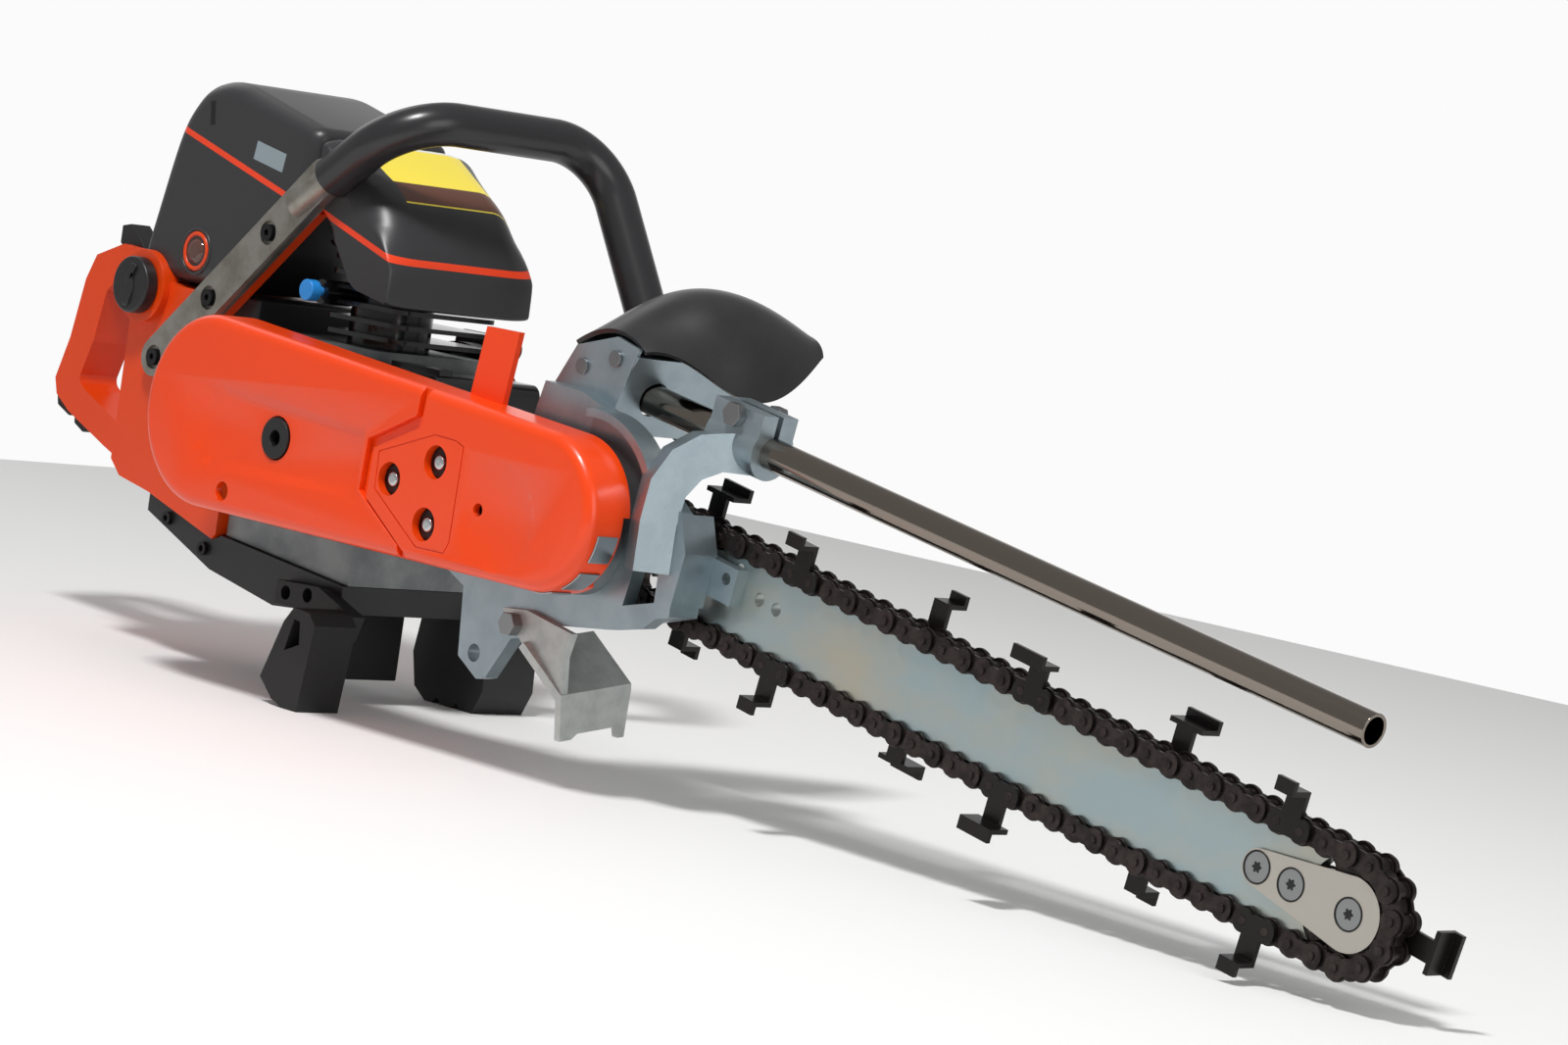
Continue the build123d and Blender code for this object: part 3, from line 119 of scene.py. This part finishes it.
def finish(name, colour, metallic=0.0, roughness=0.5, grain_mm=0.0, grain=0.0, mottle=None,
           mottle_mm=30.0, coat=0.0, stretch=(1, 1, 1), marks=(), **extra):
    """A material: one colour, soft patches of a second, marks that are printed or painted shade,
    and a fine grain.

    Each mark is (centre in mm, turn about Y in degrees, half sizes in mm, colour). Noise values
    from 0.38 to 0.64 run from the first colour to the second.
    """
    mat = bpy.data.materials.new(name)
    mat.use_nodes = True
    tree = mat.node_tree
    tree.nodes.clear()
    out = add(tree, "ShaderNodeOutputMaterial")
    shader = add(tree, "ShaderNodeBsdfPrincipled", {
        "Base Color": linear(colour), "Metallic": metallic, "Roughness": roughness,
        "Coat Weight": coat, "Coat Roughness": 0.08, **extra})
    tree.links.new(shader.outputs[0], out.inputs[0])
    place = add(tree, "ShaderNodeTexCoord").outputs["Object"]
    mapped = add(tree, "ShaderNodeMapping", {"Scale": stretch}, {"Vector": place})
    shade = None
    layers = []
    if mottle:
        patches = add(tree, "ShaderNodeTexNoise",
                      {"Scale": 1 / (mottle_mm * MM), "Detail": 4.0, "Roughness": 0.6},
                      {"Vector": mapped.outputs[0]})
        spread = add(tree, "ShaderNodeMapRange",
                     {"From Min": 0.38, "From Max": 0.64}, {"Value": patches.outputs[0]})
        layers.append((spread.outputs[0], mottle))
    for centre, turn, halves, tint in marks:
        layers.append((inside_patch(tree, place, spot(centre), turn, halves), tint))
    for factor, tint in layers:
        mix = add(tree, "ShaderNodeMix", {"data_type": "RGBA"}, {0: factor})
        mix.inputs[6].default_value = linear(colour)
        mix.inputs[7].default_value = linear(tint)
        if shade:
            tree.links.new(shade, mix.inputs[6])
        shade = mix.outputs[2]
    if shade:
        tree.links.new(shade, shader.inputs["Base Color"])
    if grain_mm:
        fine = add(tree, "ShaderNodeTexNoise", {"Scale": 1 / (grain_mm * MM), "Detail": 3.0},
                   {"Vector": mapped.outputs[0]})
        bump = add(tree, "ShaderNodeBump",
                   {"Strength": grain, "Distance": GRAIN_DEPTH * MM}, {"Height": fine.outputs[0]})
        tree.links.new(bump.outputs[0], shader.inputs["Normal"])
    return mat


def ride_with(piece, node):
    """The piece moves with that node's body."""
    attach(piece, BODY_OF[node])


def mesh_piece(name, points, faces, material, node):
    """Links a smooth mesh at the origin and lets it move with that node's body."""
    mesh = bpy.data.meshes.new(name)
    mesh.from_pydata(points.tolist(), [], faces)
    mesh.shade_smooth()
    mesh.materials.append(material)
    piece = bpy.data.objects.new(name, mesh)
    bpy.context.collection.objects.link(piece)
    ride_with(piece, node)
    return piece


def curved_outline(corners, reach, samples=9):
    """Every corner P becomes the curve (1-t)^2 A + 2t(1-t) P + t^2 B.

    A and B lie on the two edges at P, a reach away from it but never past 45% of an edge.
    """
    corner = np.asarray(corners, float)
    back = np.roll(corner, 1, axis=0) - corner
    ahead = np.roll(corner, -1, axis=0) - corner
    reach = np.broadcast_to(np.asarray(reach, float), len(corner))[:, None]
    back *= np.minimum(reach / np.linalg.norm(back, axis=1, keepdims=True), 0.45)
    ahead *= np.minimum(reach / np.linalg.norm(ahead, axis=1, keepdims=True), 0.45)
    t = np.linspace(0, 1, samples)[None, :, None]
    start, end = (corner + back)[:, None], (corner + ahead)[:, None]
    curve = (1 - t) ** 2 * start + 2 * t * (1 - t) * corner[:, None] + t ** 2 * end
    return curve.reshape(-1, 2)


def ring_faces(rows, columns):
    """Quads between closed rings laid row after row, with a flat cap on each end."""
    grid = np.arange(rows * columns).reshape(rows, columns)
    beside = np.roll(grid, -1, axis=1)
    quads = np.stack([grid[:-1], beside[:-1], beside[1:], grid[1:]], axis=-1)
    return quads.reshape(-1, 4).tolist() + [grid[0, ::-1].tolist(), grid[-1].tolist()]


def pillow(name, ring, y_near, y_far, radius, material, node, weight=None, steps=8):
    """Outline given thickness along Y, its two rims rolled over by a quarter circle.

    A rim point is pulled towards the outline's middle by radius (1 - sin a) while it moves
    in from the face by radius (1 - cos a), a from 0 to 90 degrees; weight scales the pull.
    One more ring, a little further in, keeps each flat face clear of its rim.
    """
    angle = np.linspace(0, np.pi / 2, steps)
    pull = radius * (1 - np.sin(angle))
    depth = radius * (1 - np.cos(angle))
    innermost = [radius + FACE_INSET]
    pull = np.concatenate([innermost, pull, pull[::-1], innermost])
    level = np.concatenate([[y_near], y_near + depth, y_far - depth[::-1], [y_far]])
    middle = (ring.min(axis=0) + ring.max(axis=0)) / 2
    inward = middle - ring
    inward /= np.linalg.norm(inward, axis=1, keepdims=True)
    if weight is not None:
        inward = inward * weight[:, None]
    flat = ring[None] + pull[:, None, None] * inward[None]
    points = np.stack([flat[..., 0], np.broadcast_to(level[:, None], flat.shape[:2]),
                       flat[..., 1]], axis=-1)
    rows, columns = flat.shape[:2]
    faces = ring_faces(rows, columns)
    turn = np.roll(ring, -1, axis=0)
    if (ring[:, 0] * turn[:, 1] - turn[:, 0] * ring[:, 1]).sum() < 0:
        faces = [face[::-1] for face in faces]
    return mesh_piece(name, spot(points.reshape(-1, 3)), faces, material, node)


NYLON_GREY = "#333335"
LINE_ORANGE = "#F0431A"
FILTER_HOOD = ((-519, 98), (-517, 118), (-503, 180), (-493, 208), (-474, 230), (-446, 236.5),
               (-347.5, 212), (-347.5, 172), (-428, 98))
FILTER_HOOD_REACH = (2, 12, 30, 16, 16, 18, 8, 4, 4)
FILTER_HOOD_WIDTH = 116
FILTER_HOOD_ROUND = 13
FILTER_HOOD_MARKS = (((-430, 0, 182.6), -15.5, (95, 40, 2.0), LINE_ORANGE),
                     # The near-black finger slot is painted shade in the slot's recess.
                     ((-460, 0, 212), 10, (2.6, 9, 8), "#0C0C0D"),
                     ((-394, 0, 189.6), -10.5, (16, 3, 6.2), "#8D9BA1"))
hood_nylon = finish("Dark grey moulded nylon, side line and finger slot", NYLON_GREY,
                    roughness=0.36, grain_mm=0.7, grain=0.1, marks=FILTER_HOOD_MARKS)
cover = pillow("air_filter_cover_skin", curved_outline(FILTER_HOOD, FILTER_HOOD_REACH), 0,
               FILTER_HOOD_WIDTH, FILTER_HOOD_ROUND, hood_nylon, "air_filter_cover")
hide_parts("air_filter_cover")

# ------------------------------------------------------------------ cylinder cover
# A second hood of the same nylon over the cylinder, its sides straight and its top rolled
# over in wide curves. The orange line carries on round it; a warning plate sits on its slope,
# and a small near-black square on its front is painted shade in an opening.
CYLINDER_HOOD = ((-346.5, 171), (-346.5, 211), (-284, 180), (-265, 156), (-256, 134),
                 (-256, 107), (-292, 113), (-330, 145))
CYLINDER_HOOD_REACH = (3, 10, 16, 14, 14, 3, 6, 10)
CYLINDER_HOOD_WIDTH = 122
CYLINDER_HOOD_ROUND = 24
CYLINDER_HOOD_MARKS = (((-300, 61, 150.2), -17, (47, 80, 2.0), LINE_ORANGE),
                       ((-314, 69, 190), 0, (34, 44, 30), "#FFE84A"),
                       ((-289, 69, 190), 0, (8, 44, 30), "#5E3626"),
                       ((-342, 69, 200), 0, (4, 44, 30), "#EDEBE2"),
                       # A small near-black square on the front slope: painted shade in an opening
                       # of the hood.
                       ((-262.8, 56.5, 165.5), 40, (5, 5, 5), "#0C0C0D"))
ring = curved_outline(CYLINDER_HOOD, CYLINDER_HOOD_REACH)
# The rolling grows with height above 128 mm, and fades where the hood meets the filter's.
rolled = np.clip((ring[:, 1] - 128) / 30, 0.12, 1) * np.clip((ring[:, 0] + 350) / 20, 0.3, 1)
label_nylon = finish("Dark grey moulded nylon, side line and plain warning plate", NYLON_GREY,
                     roughness=0.36, grain_mm=0.7, grain=0.1, marks=CYLINDER_HOOD_MARKS)
cover = pillow("cylinder_cover_skin", ring, 0, CYLINDER_HOOD_WIDTH, CYLINDER_HOOD_ROUND,
               label_nylon, "cylinder_cover", rolled)
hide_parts("cylinder_cover")

# ------------------------------------------------------------------ orange nylon shells
# The tank with its filler neck, and the loop handle behind it, are moulded in orange nylon:
# thick walls, well-rounded edges and a satin skin.
SHARP = 32
FLAT = 0.02
WELD = 1e-6


def softened(node, material, width, segments=2):
    """Copies a CAD node's mesh, welds it, merges its flat faces and rounds its edges.

    An edge counts as one where its faces meet at SHARP degrees or more, and its bevel is width
    millimetres wide.
    """
    source = frame["nodes"][node]
    mesh = source.data.copy()
    work = bmesh.new()
    work.from_mesh(mesh)
    bmesh.ops.remove_doubles(work, verts=work.verts, dist=WELD)
    bmesh.ops.dissolve_limit(work, angle_limit=FLAT, verts=work.verts, edges=work.edges)
    limit = np.radians(SHARP)
    for edge in work.edges:
        edge.smooth = len(edge.link_faces) == 2 and edge.calc_face_angle(0.0) < limit
    for face in work.faces:
        face.smooth = True
    work.to_mesh(mesh)
    work.free()
    mesh.materials.clear()
    mesh.materials.append(material)
    piece = bpy.data.objects.new(node + "_skin", mesh)
    bpy.context.collection.objects.link(piece)
    bevel = piece.modifiers.new("Edges", "BEVEL")
    bevel.width = width * MM
    bevel.segments = segments
    bevel.limit_method = "ANGLE"
    bevel.angle_limit = limit
    bevel.harden_normals = True
    bevel.use_clamp_overlap = True
    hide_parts(node)
    ride_with(piece, node)


nylon_orange = finish("Orange moulded nylon", "#E34306", roughness=0.34, grain_mm=0.8, grain=0.08)
softened("tank_housing", nylon_orange, 2.5, 3)
softened("rear_handle", nylon_orange, 6.0, 4)

# ------------------------------------------------------------------ fuel cap and primer
# The cap is black nylon with a raised finger bar across it; the primer is a clear bulb in an
# orange ring, set in the hood's lower corner.
nylon_black = finish("Black moulded nylon", "#1D1D1F", roughness=0.42, grain_mm=0.7, grain=0.12)
softened("fuel_cap", nylon_black, 1.2, 3)


def middle_of(node):
    """X and Z of a node's middle, in millimetres from the drive shaft's axis."""
    low, high = (np.array(corner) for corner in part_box(node))
    x, _, z = ((low + high) / 2 - spot((0, 0, 0))) / MM
    return x, z


cap_x, cap_z = middle_of("fuel_cap")
FINGER_BAR = np.array([(-4, -15), (2, -15), (5, -4), (3, 5), (7, 14), (0, 15), (-4, 6)])
FINGER_BAR_FRONT, FINGER_BAR_BACK = -17.6, -14
pillow("fuel_cap_bar", curved_outline(FINGER_BAR + (cap_x, cap_z), 3), FINGER_BAR_FRONT,
       FINGER_BAR_BACK, 1.6, nylon_black, "fuel_cap", steps=4)


def hoop(name, centre, radius, thick, material, node, around=72, across=16):
    """Closed ring about an axis along Y: a circle of radius thick swept round radius."""
    u = np.linspace(0, 2 * np.pi, around, endpoint=False)[:, None]
    v = np.linspace(0, 2 * np.pi, across, endpoint=False)[None]
    reach = radius + thick * np.cos(v)
    points = np.stack([centre[0] + reach * np.cos(u), centre[1] + thick * np.sin(v) + 0 * u,
                       centre[2] + reach * np.sin(u)], axis=-1)
    grid = np.arange(around * across).reshape(around, across)
    beside, below = np.roll(grid, -1, axis=1), np.roll(grid, -1, axis=0)
    quads = np.stack([grid, beside, np.roll(beside, -1, axis=0), below], axis=-1)
    return mesh_piece(name, spot(points.reshape(-1, 3)), quads.reshape(-1, 4).tolist(), material,
                      node)


PRIMER_RING_R, PRIMER_RING_T = 11.6, 1.6
PRIMER_RIM_R, PRIMER_RIM_T = 15.0, 1.2
bulb_x, bulb_z = middle_of("primer_bulb")
hoop("primer_ring", (bulb_x, 0.4, bulb_z), PRIMER_RING_R, PRIMER_RING_T, nylon_orange,
     "air_filter_cover")
hoop("primer_rim", (bulb_x, 0.2, bulb_z), PRIMER_RIM_R, PRIMER_RIM_T, hood_nylon,
     "air_filter_cover")
clear_bulb = finish("Smoky clear primer rubber", "#5A3A32", roughness=0.1, coat=0.6)
softened("primer_bulb", clear_bulb, 0.4)

# ------------------------------------------------------------------ belt cover
# Two pressed covers over the belt, painted bright orange and glossy: a dished panel in each,
# a deep joint between them, wells round three studs darkened with painted shade, and steel
# pads on the low rim.
paint = finish("Orange enamel on pressed covers", "#F24404", roughness=0.3, coat=0.12,
               grain_mm=1.0, grain=0.03)
for node in ("belt_cover_rear", "belt_cover_front"):
    softened(node, paint, 1.4, 3)
# Near-black discs in the wells round the studs, and at the nose screws below: painted shade in
# those recesses.
recess_shade_black = finish("Painted shade in the stud wells and screw recesses", "#0B0B0C", roughness=0.5)
stud_end = finish("Bright stud end", "#C9CCCD", metallic=0.9, roughness=0.25)
STUD_PLACES = ((-133.0, 12.0), (-93.0, 28.0), (-96.0, -10.0))
WELL_R, WELL_FRONT, WELL_BACK = 9.9, -76.4, -75.6
STUD_R, STUD_FRONT, STUD_BACK = 4.4, -79.6, -76.2
turns = np.linspace(0, 2 * np.pi, 40, endpoint=False)
circle = np.stack([np.cos(turns), np.sin(turns)], axis=1)
for place in STUD_PLACES:
    pillow("stud_well", circle * WELL_R + place, WELL_FRONT, WELL_BACK, 0.2, recess_shade_black,
           "arm_studs", steps=3)
    pillow("stud_end", circle * STUD_R + place, STUD_FRONT, STUD_BACK, 1.2, stud_end,
           "arm_studs", steps=4)
bush_rubber = finish("Black rubber", "#151516", roughness=0.5, grain_mm=1.0, grain=0.15)
softened("belt_cover_bush", bush_rubber, 0.8)
pad_steel = finish("Stamped pad steel", "#A9AEB2", metallic=0.95, roughness=0.28, grain_mm=1.5,
                   grain=0.1)
softened("cover_wear_pads", pad_steel, 0.5, 3)

# ------------------------------------------------------------------ engine
# Crankcase and arm are die-cast aluminium as cast; the finned cylinder is cast too, but
# painted in glossy black heat-proof paint. A black nylon wall keeps its heat from the tank; it
# is also made to fill the deep shade between tank and cylinder, so it is partly painted shade.
# A felt filter breathes through the carburettor and a rubber bellows.
cast_alloy = finish("Die-cast aluminium", "#8C8F8F", metallic=0.8, roughness=0.46,
                    grain_mm=1.2, grain=0.25, mottle="#707375", mottle_mm=40)
for node in ("crankcase", "flywheel", "cutting_arm"):
    softened(node, cast_alloy, 1.0)
heat_paint = finish("Glossy black heat-proof paint on castings", "#0E0E0F", roughness=0.22,
                    coat=0.4, grain_mm=1.5, grain=0.1)
softened("cylinder", heat_paint, 1.0, 3)
# The black wall is partly black nylon and partly painted shade filling the dark gap between tank
# and cylinder.
softened("heat_wall", nylon_black, 2.0, 3)
softened("muffler", heat_paint, 1.2)
softened("carburettor", cast_alloy, 0.5)
softened("air_filter", finish("Filter felt", "#D8D2C0", roughness=0.9), 0.5)
softened("intake_bellows", bush_rubber, 0.8)
button_blue = finish("Blue button plastic", "#2F93E6", roughness=0.28, coat=0.2)
softened("decompression_button", button_blue, 0.8, 3)

# ------------------------------------------------------------------ turned and plated steel
# Bearings, studs, shafts, screws and the pulley are turned from steel and given a bright zinc
# plate. The screws of the body and handle are black oxide steel instead.
screw_steel = finish("Zinc-plated screw steel", "#8E8F90", metallic=0.95, roughness=0.3,
                     grain_mm=0.8, grain=0.08)
for node in ("bearings", "crankshaft", "clutch_hub", "driven_pulley", "drive_shaft", "spark_plug",
             "arm_studs", "adapter_fasteners", "tension_bolt"):
    softened(node, screw_steel, 0.5)
black_screw = finish("Black oxide screw steel", "#232325", metallic=0.6, roughness=0.38)
softened("body_screws", black_screw, 0.5)

# ------------------------------------------------------------------ cast adapter and bracket
# The adapter that carries bar, tube and guard: cast, blasted and zinc plated, soft bright
# edges. The stand below it is hot-dip galvanised plate, paler and blotchy.
machined = finish("Blasted zinc-plated casting", "#A4B2B8", metallic=0.85, roughness=0.36,
                  grain_mm=1.6, grain=0.22, mottle="#97A5AC", mottle_mm=25)
for node in ("adapter_casting", "guard_bracket"):
    softened(node, machined, 2.2, 4)
stand_zinc = finish("Galvanised stand plate", "#C2C6C3", metallic=0.75, roughness=0.5,
                    grain_mm=3.0, grain=0.35, mottle="#B3B7B5", mottle_mm=10)
softened("stand", stand_zinc, 1.4, 3)

# ------------------------------------------------------------------ guard
# A thin moulded rubber dome over the chain's rear end, arched from the bracket's edge out to
# a rounded lip on the far side. A curtain hangs from its back edge.
GUARD_RIBS = np.array([
    ((-46, -27, 112), (-14, -27, 123), (16, -27, 113)),
    ((-34, 5, 136), (6, 5, 139), (38, 5, 104)),
    ((-12, 36, 153), (28, 36, 140), (49, 36, 92)),
    ((8, 74, 147), (33, 74, 134), (44, 74, 104)),
    ((22, 102, 133), (30, 102, 129), (34, 102, 122))], float)
CURTAIN = np.array([((-46, -23, 112), (-42, -23, 97)), ((-34, 5, 134), (-36, 5, 103)),
                    ((-12, 36, 151), (-24, 36, 64)), ((6, 70, 147), (-6, 70, 74))], float)


def lagrange(knots, at):
    """Weights of the polynomial through the knots: product of (t - k_m) / (k_j - k_m)."""
    knots = np.asarray(knots, float)
    gap = at[:, None, None] - knots[None, None, :]
    span = knots[:, None] - knots[None, :]
    same = np.eye(len(knots), dtype=bool)
    ratio = np.where(same[None], 1.0, gap / np.where(same, 1.0, span)[None])
    return ratio.prod(axis=2)


def spread_ribs(ribs, along, across):
    """Surface whose point is the sum over ribs i and rib points j of A_i(s) B_j(t) P_ij."""
    a = lagrange(np.linspace(0, 1, ribs.shape[0]), np.linspace(0, 1, along))
    b = lagrange(np.linspace(0, 1, ribs.shape[1]), np.linspace(0, 1, across))
    return np.einsum("si,tj,ijc->stc", a, b, ribs)


def sheet_faces(rows, columns):
    """Quads between neighbouring rows and columns of an open grid."""
    grid = np.arange(rows * columns).reshape(rows, columns)
    quads = np.stack([grid[:-1, :-1], grid[:-1, 1:], grid[1:, 1:], grid[1:, :-1]], axis=-1)
    return quads.reshape(-1, 4).tolist()


def thickened(piece, thick, offset):
    """Gives an open sheet a wall and rounds its rim."""
    wall = piece.modifiers.new("Wall", "SOLIDIFY")
    wall.thickness = thick * MM
    wall.offset = offset
    rim = piece.modifiers.new("Rim", "BEVEL")
    rim.width = thick * 0.3 * MM
    rim.segments = 3
    rim.limit_method = "ANGLE"
    rim.angle_limit = np.radians(50)
    rim.harden_normals = True


guard_rubber = finish("Moulded guard rubber", "#2A2A2B", roughness=0.34, grain_mm=1.0, grain=0.06,
                      mottle="#232324", mottle_mm=30)
dome = spread_ribs(GUARD_RIBS, 49, 41)
guard = mesh_piece("guard_skin", spot(dome.reshape(-1, 3)), sheet_faces(49, 41), guard_rubber,
                   "guard")
thickened(guard, 3.0, -1)
curtain = spread_ribs(CURTAIN, 30, 12)
curtain = mesh_piece("guard_curtain", spot(curtain.reshape(-1, 3)), sheet_faces(30, 12),
                     guard_rubber, "guard")
thickened(curtain, 2.0, 0)
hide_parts("guard")

# ------------------------------------------------------------------ bar and nose
# Flat ground steel with a streaky blue-grey zinc plate; the nose plates are plain bright
# plate, held by three countersunk screws with lobed sockets; the dark ring round each head and
# the socket inside it are painted shade.
bar_steel = finish("Zinc-plated bar", "#9FB0B4", metallic=0.85, roughness=0.3, grain_mm=6.0,
                   grain=0.06, mottle="#B3B0A2", mottle_mm=60, stretch=(0.5, 1, 1))
softened("bar", bar_steel, 0.6)
nose_steel = finish("Brushed nose plate steel", "#B8B3AA", metallic=0.9, roughness=0.32,
                    grain_mm=3.0, grain=0.08)
softened("nose_plates", nose_steel, 1.2, 3)
softened("nose_screws", screw_steel, 0.9, 3)


def lobed(radius, wave, lobes=6, samples=72):
    """Outline whose radius swells and shrinks: r (1 + wave cos(lobes a)) at angle a."""
    a = np.linspace(0, 2 * np.pi, samples, endpoint=False)
    r = radius * (1 + wave * np.cos(lobes * a))
    return np.stack([r * np.cos(a), r * np.sin(a)], axis=1)


screw_near = (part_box("nose_screws")[0].y - NEAR_WALL) / MM
BAR_SLOPE = np.radians(10.0)
SPROCKET_SPAN = 579.4375
NOSE_SCREW_STEPS = np.array([0.0, 40.0, 64.0])
SCREW_EDGE_R, SCREW_EDGE_T = 8.6, 0.5
SOCKET_R, SOCKET_WAVE = 2.7, 0.2
along = SPROCKET_SPAN - NOSE_SCREW_STEPS
for x, z in np.stack([along * np.cos(BAR_SLOPE), -along * np.sin(BAR_SLOPE)], axis=1):
    # A near-black ring round each screw head and a near-black socket: painted shade in their
    # recesses.
    hoop("nose_screw_edge", (x, screw_near - 0.1, z), SCREW_EDGE_R, SCREW_EDGE_T, recess_shade_black,
         "nose_screws", 48, 8)
    pillow("nose_screw_socket", lobed(SOCKET_R, SOCKET_WAVE) + (x, z), screw_near - 0.15,
           screw_near + 1, 0.1, recess_shade_black, "nose_screws", steps=3)

# ------------------------------------------------------------------ chain
# Roller chain in hardened steel, oiled dark brown, on toothed steel sprockets. Forged black
# cutters stand on every third outer link. The clutch drum and rubber belt that drive it are
# here too.
chain_steel = finish("Oiled chain steel", "#3E3634", metallic=0.8, roughness=0.36, grain_mm=1.5,
                     grain=0.2, mottle="#2A2524", mottle_mm=6)
for node in ("chain_inner_links", "chain_outer_links", "drive_sprocket", "nose_sprocket",
             "clutch_drum"):
    softened(node, chain_steel, 0.3, 1)
cutter_steel = finish("Black forged cutter steel", "#1F1C1B", metallic=0.6, roughness=0.34,
                      grain_mm=2.0, grain=0.2)
softened("chain_cutters", cutter_steel, 1.4, 3)
softened("drive_belt", bush_rubber, 0.8)

# ------------------------------------------------------------------ depth tube
# Drawn steel tube, held in the adapter's clamp and slid through it to set the depth. It is
# polished until it mirrors what is round it; its colour is darkened and browned as a painted
# reflection of dark, brownish surroundings.
# The dark brownish colour is a painted reflection, darker than bare polished steel.
tube_reflection_steel = finish("Polished tube steel with painted dark reflection", "#8A8178", metallic=1.0, roughness=0.12, grain_mm=20,
                  grain=0.02)
softened("depth_tube", tube_reflection_steel, 0.3)

# ------------------------------------------------------------------ front handle
# A bent aluminium tube, flattened into a strip down the near side and tumbled grey; a thick
# shiny rubber hose covers the grip.
handle_metal = finish("Tumbled aluminium handle", "#A5A29B", metallic=0.85, roughness=0.38,
                      grain_mm=1.5, grain=0.12, mottle="#8B877D", mottle_mm=20)
softened("front_handle", handle_metal, 3.0, 4)
grip_rubber = finish("Grip hose rubber", "#29292B", roughness=0.28, grain_mm=1.0, grain=0.03)
softened("front_handle_grip", grip_rubber, 0.8)

# ------------------------------------------------------------------ controls and starter
# The switch, the levers, the choke knob, the starter's shell, reel and handle, and the pan
# under the engine are all moulded in the same black nylon.
for node in ("starter_housing", "starter_reel", "starter_handle", "throttle_trigger",
             "throttle_lockout", "stop_switch", "choke_knob", "bottom_shell"):
    softened(node, nylon_black, 1.2, 3)

# ------------------------------------------------------------------ feet and pads
# Feet, mud flap and handle pads are soft black rubber, moulded dull and slightly grainy, and
# fixed to the pan and the handles.
rubber = finish("Dull black rubber", "#1B1B1C", roughness=0.6, grain_mm=1.0, grain=0.15)
for node in ("near_foot", "far_foot", "mud_flap", "rear_handle_pads"):
    softened(node, rubber, 1.2, 3)

# ------------------------------------------------------------------ studio
# A small pale floor, a sky that is white in one fixed direction, beyond the machine, and dim
# elsewhere, a hard key from above the near side and two soft fills.
low, high = (np.array(v) for v in cad_box)
middle = (low + high) / 2


def plate(name, corners, material):
    """Flat four-cornered plate."""
    mesh = bpy.data.meshes.new(name)
    mesh.from_pydata([tuple(corner) for corner in corners], [], [(0, 1, 2, 3)])
    mesh.materials.append(material)
    obj = bpy.data.objects.new(name, mesh)
    bpy.context.collection.objects.link(obj)


floor_z = float(low[2])
FLOOR_HALF = 1.6
FLOOR_SIGNS = ((-1, -1), (1, -1), (1, 1), (-1, 1))
plate("floor", [(x * FLOOR_HALF, y * FLOOR_HALF, floor_z) for x, y in FLOOR_SIGNS],
      finish("Pale floor", "#F6F6F5", roughness=0.9))

bpy.context.scene.view_settings.view_transform = "Standard"
CAMERA_LOOK = Vector((-0.70325, 0.70692, -0.07548))
world = bpy.data.worlds.new("Studio")
world.use_nodes = True
sky = world.node_tree
backdrop = sky.nodes["Background"]
backdrop.inputs[0].default_value = linear("#FBFBFB")
toward = add(sky, "ShaderNodeTexCoord").outputs["Generated"]
facing = add(sky, "ShaderNodeVectorMath", {"operation": "DOT_PRODUCT", 1: tuple(CAMERA_LOOK)},
             {0: toward})
SKY_RAMP = {"From Min": 0.78, "From Max": 0.93, "To Min": 0.34, "To Max": 1.0}
lit = add(sky, "ShaderNodeMapRange", SKY_RAMP, {"Value": facing.outputs["Value"]})
sky.links.new(lit.outputs[0], backdrop.inputs[1])
bpy.context.scene.world = world


def soft_lamp(name, at, aim, size, watts):
    """Square area lamp at a point, turned to face another."""
    data = bpy.data.lights.new(name, "AREA")
    data.size = size
    data.energy = watts
    lamp = bpy.data.objects.new(name, data)
    bpy.context.collection.objects.link(lamp)
    lamp.location = at
    lamp.rotation_euler = (Vector(aim) - Vector(at)).to_track_quat("-Z", "Y").to_euler()


soft_lamp("key", (0.3, -1.1, 2.4), middle, 0.35, 46)
soft_lamp("fill", (2.4, -0.4, 0.9), middle, 1.4, 13)
soft_lamp("rim", (-2.2, 0.4, 1.6), middle, 1.2, 4)

# ------------------------------------------------------------------ camera
# A long lens beyond the nose on the near side, level with the machine's top, looking slightly
# down and rolled by a few degrees.
CAMERA_AT = Vector((2.009, -1.927, 0.381))
CAMERA_ROLL = 8.48
CAMERA_LENS = 106.1
CAMERA_NEAR = 0.05
camera = bpy.data.objects.new("camera", bpy.data.cameras.new("camera"))
bpy.context.collection.objects.link(camera)
camera.data.lens = CAMERA_LENS
camera.data.clip_start = CAMERA_NEAR
turn = CAMERA_LOOK.to_track_quat("-Z", "Y").to_matrix().to_4x4()
camera.matrix_world = Matrix.Translation(CAMERA_AT) @ turn @ Matrix.Rotation(
    np.radians(CAMERA_ROLL), 4, "Z")
bpy.context.scene.camera = camera
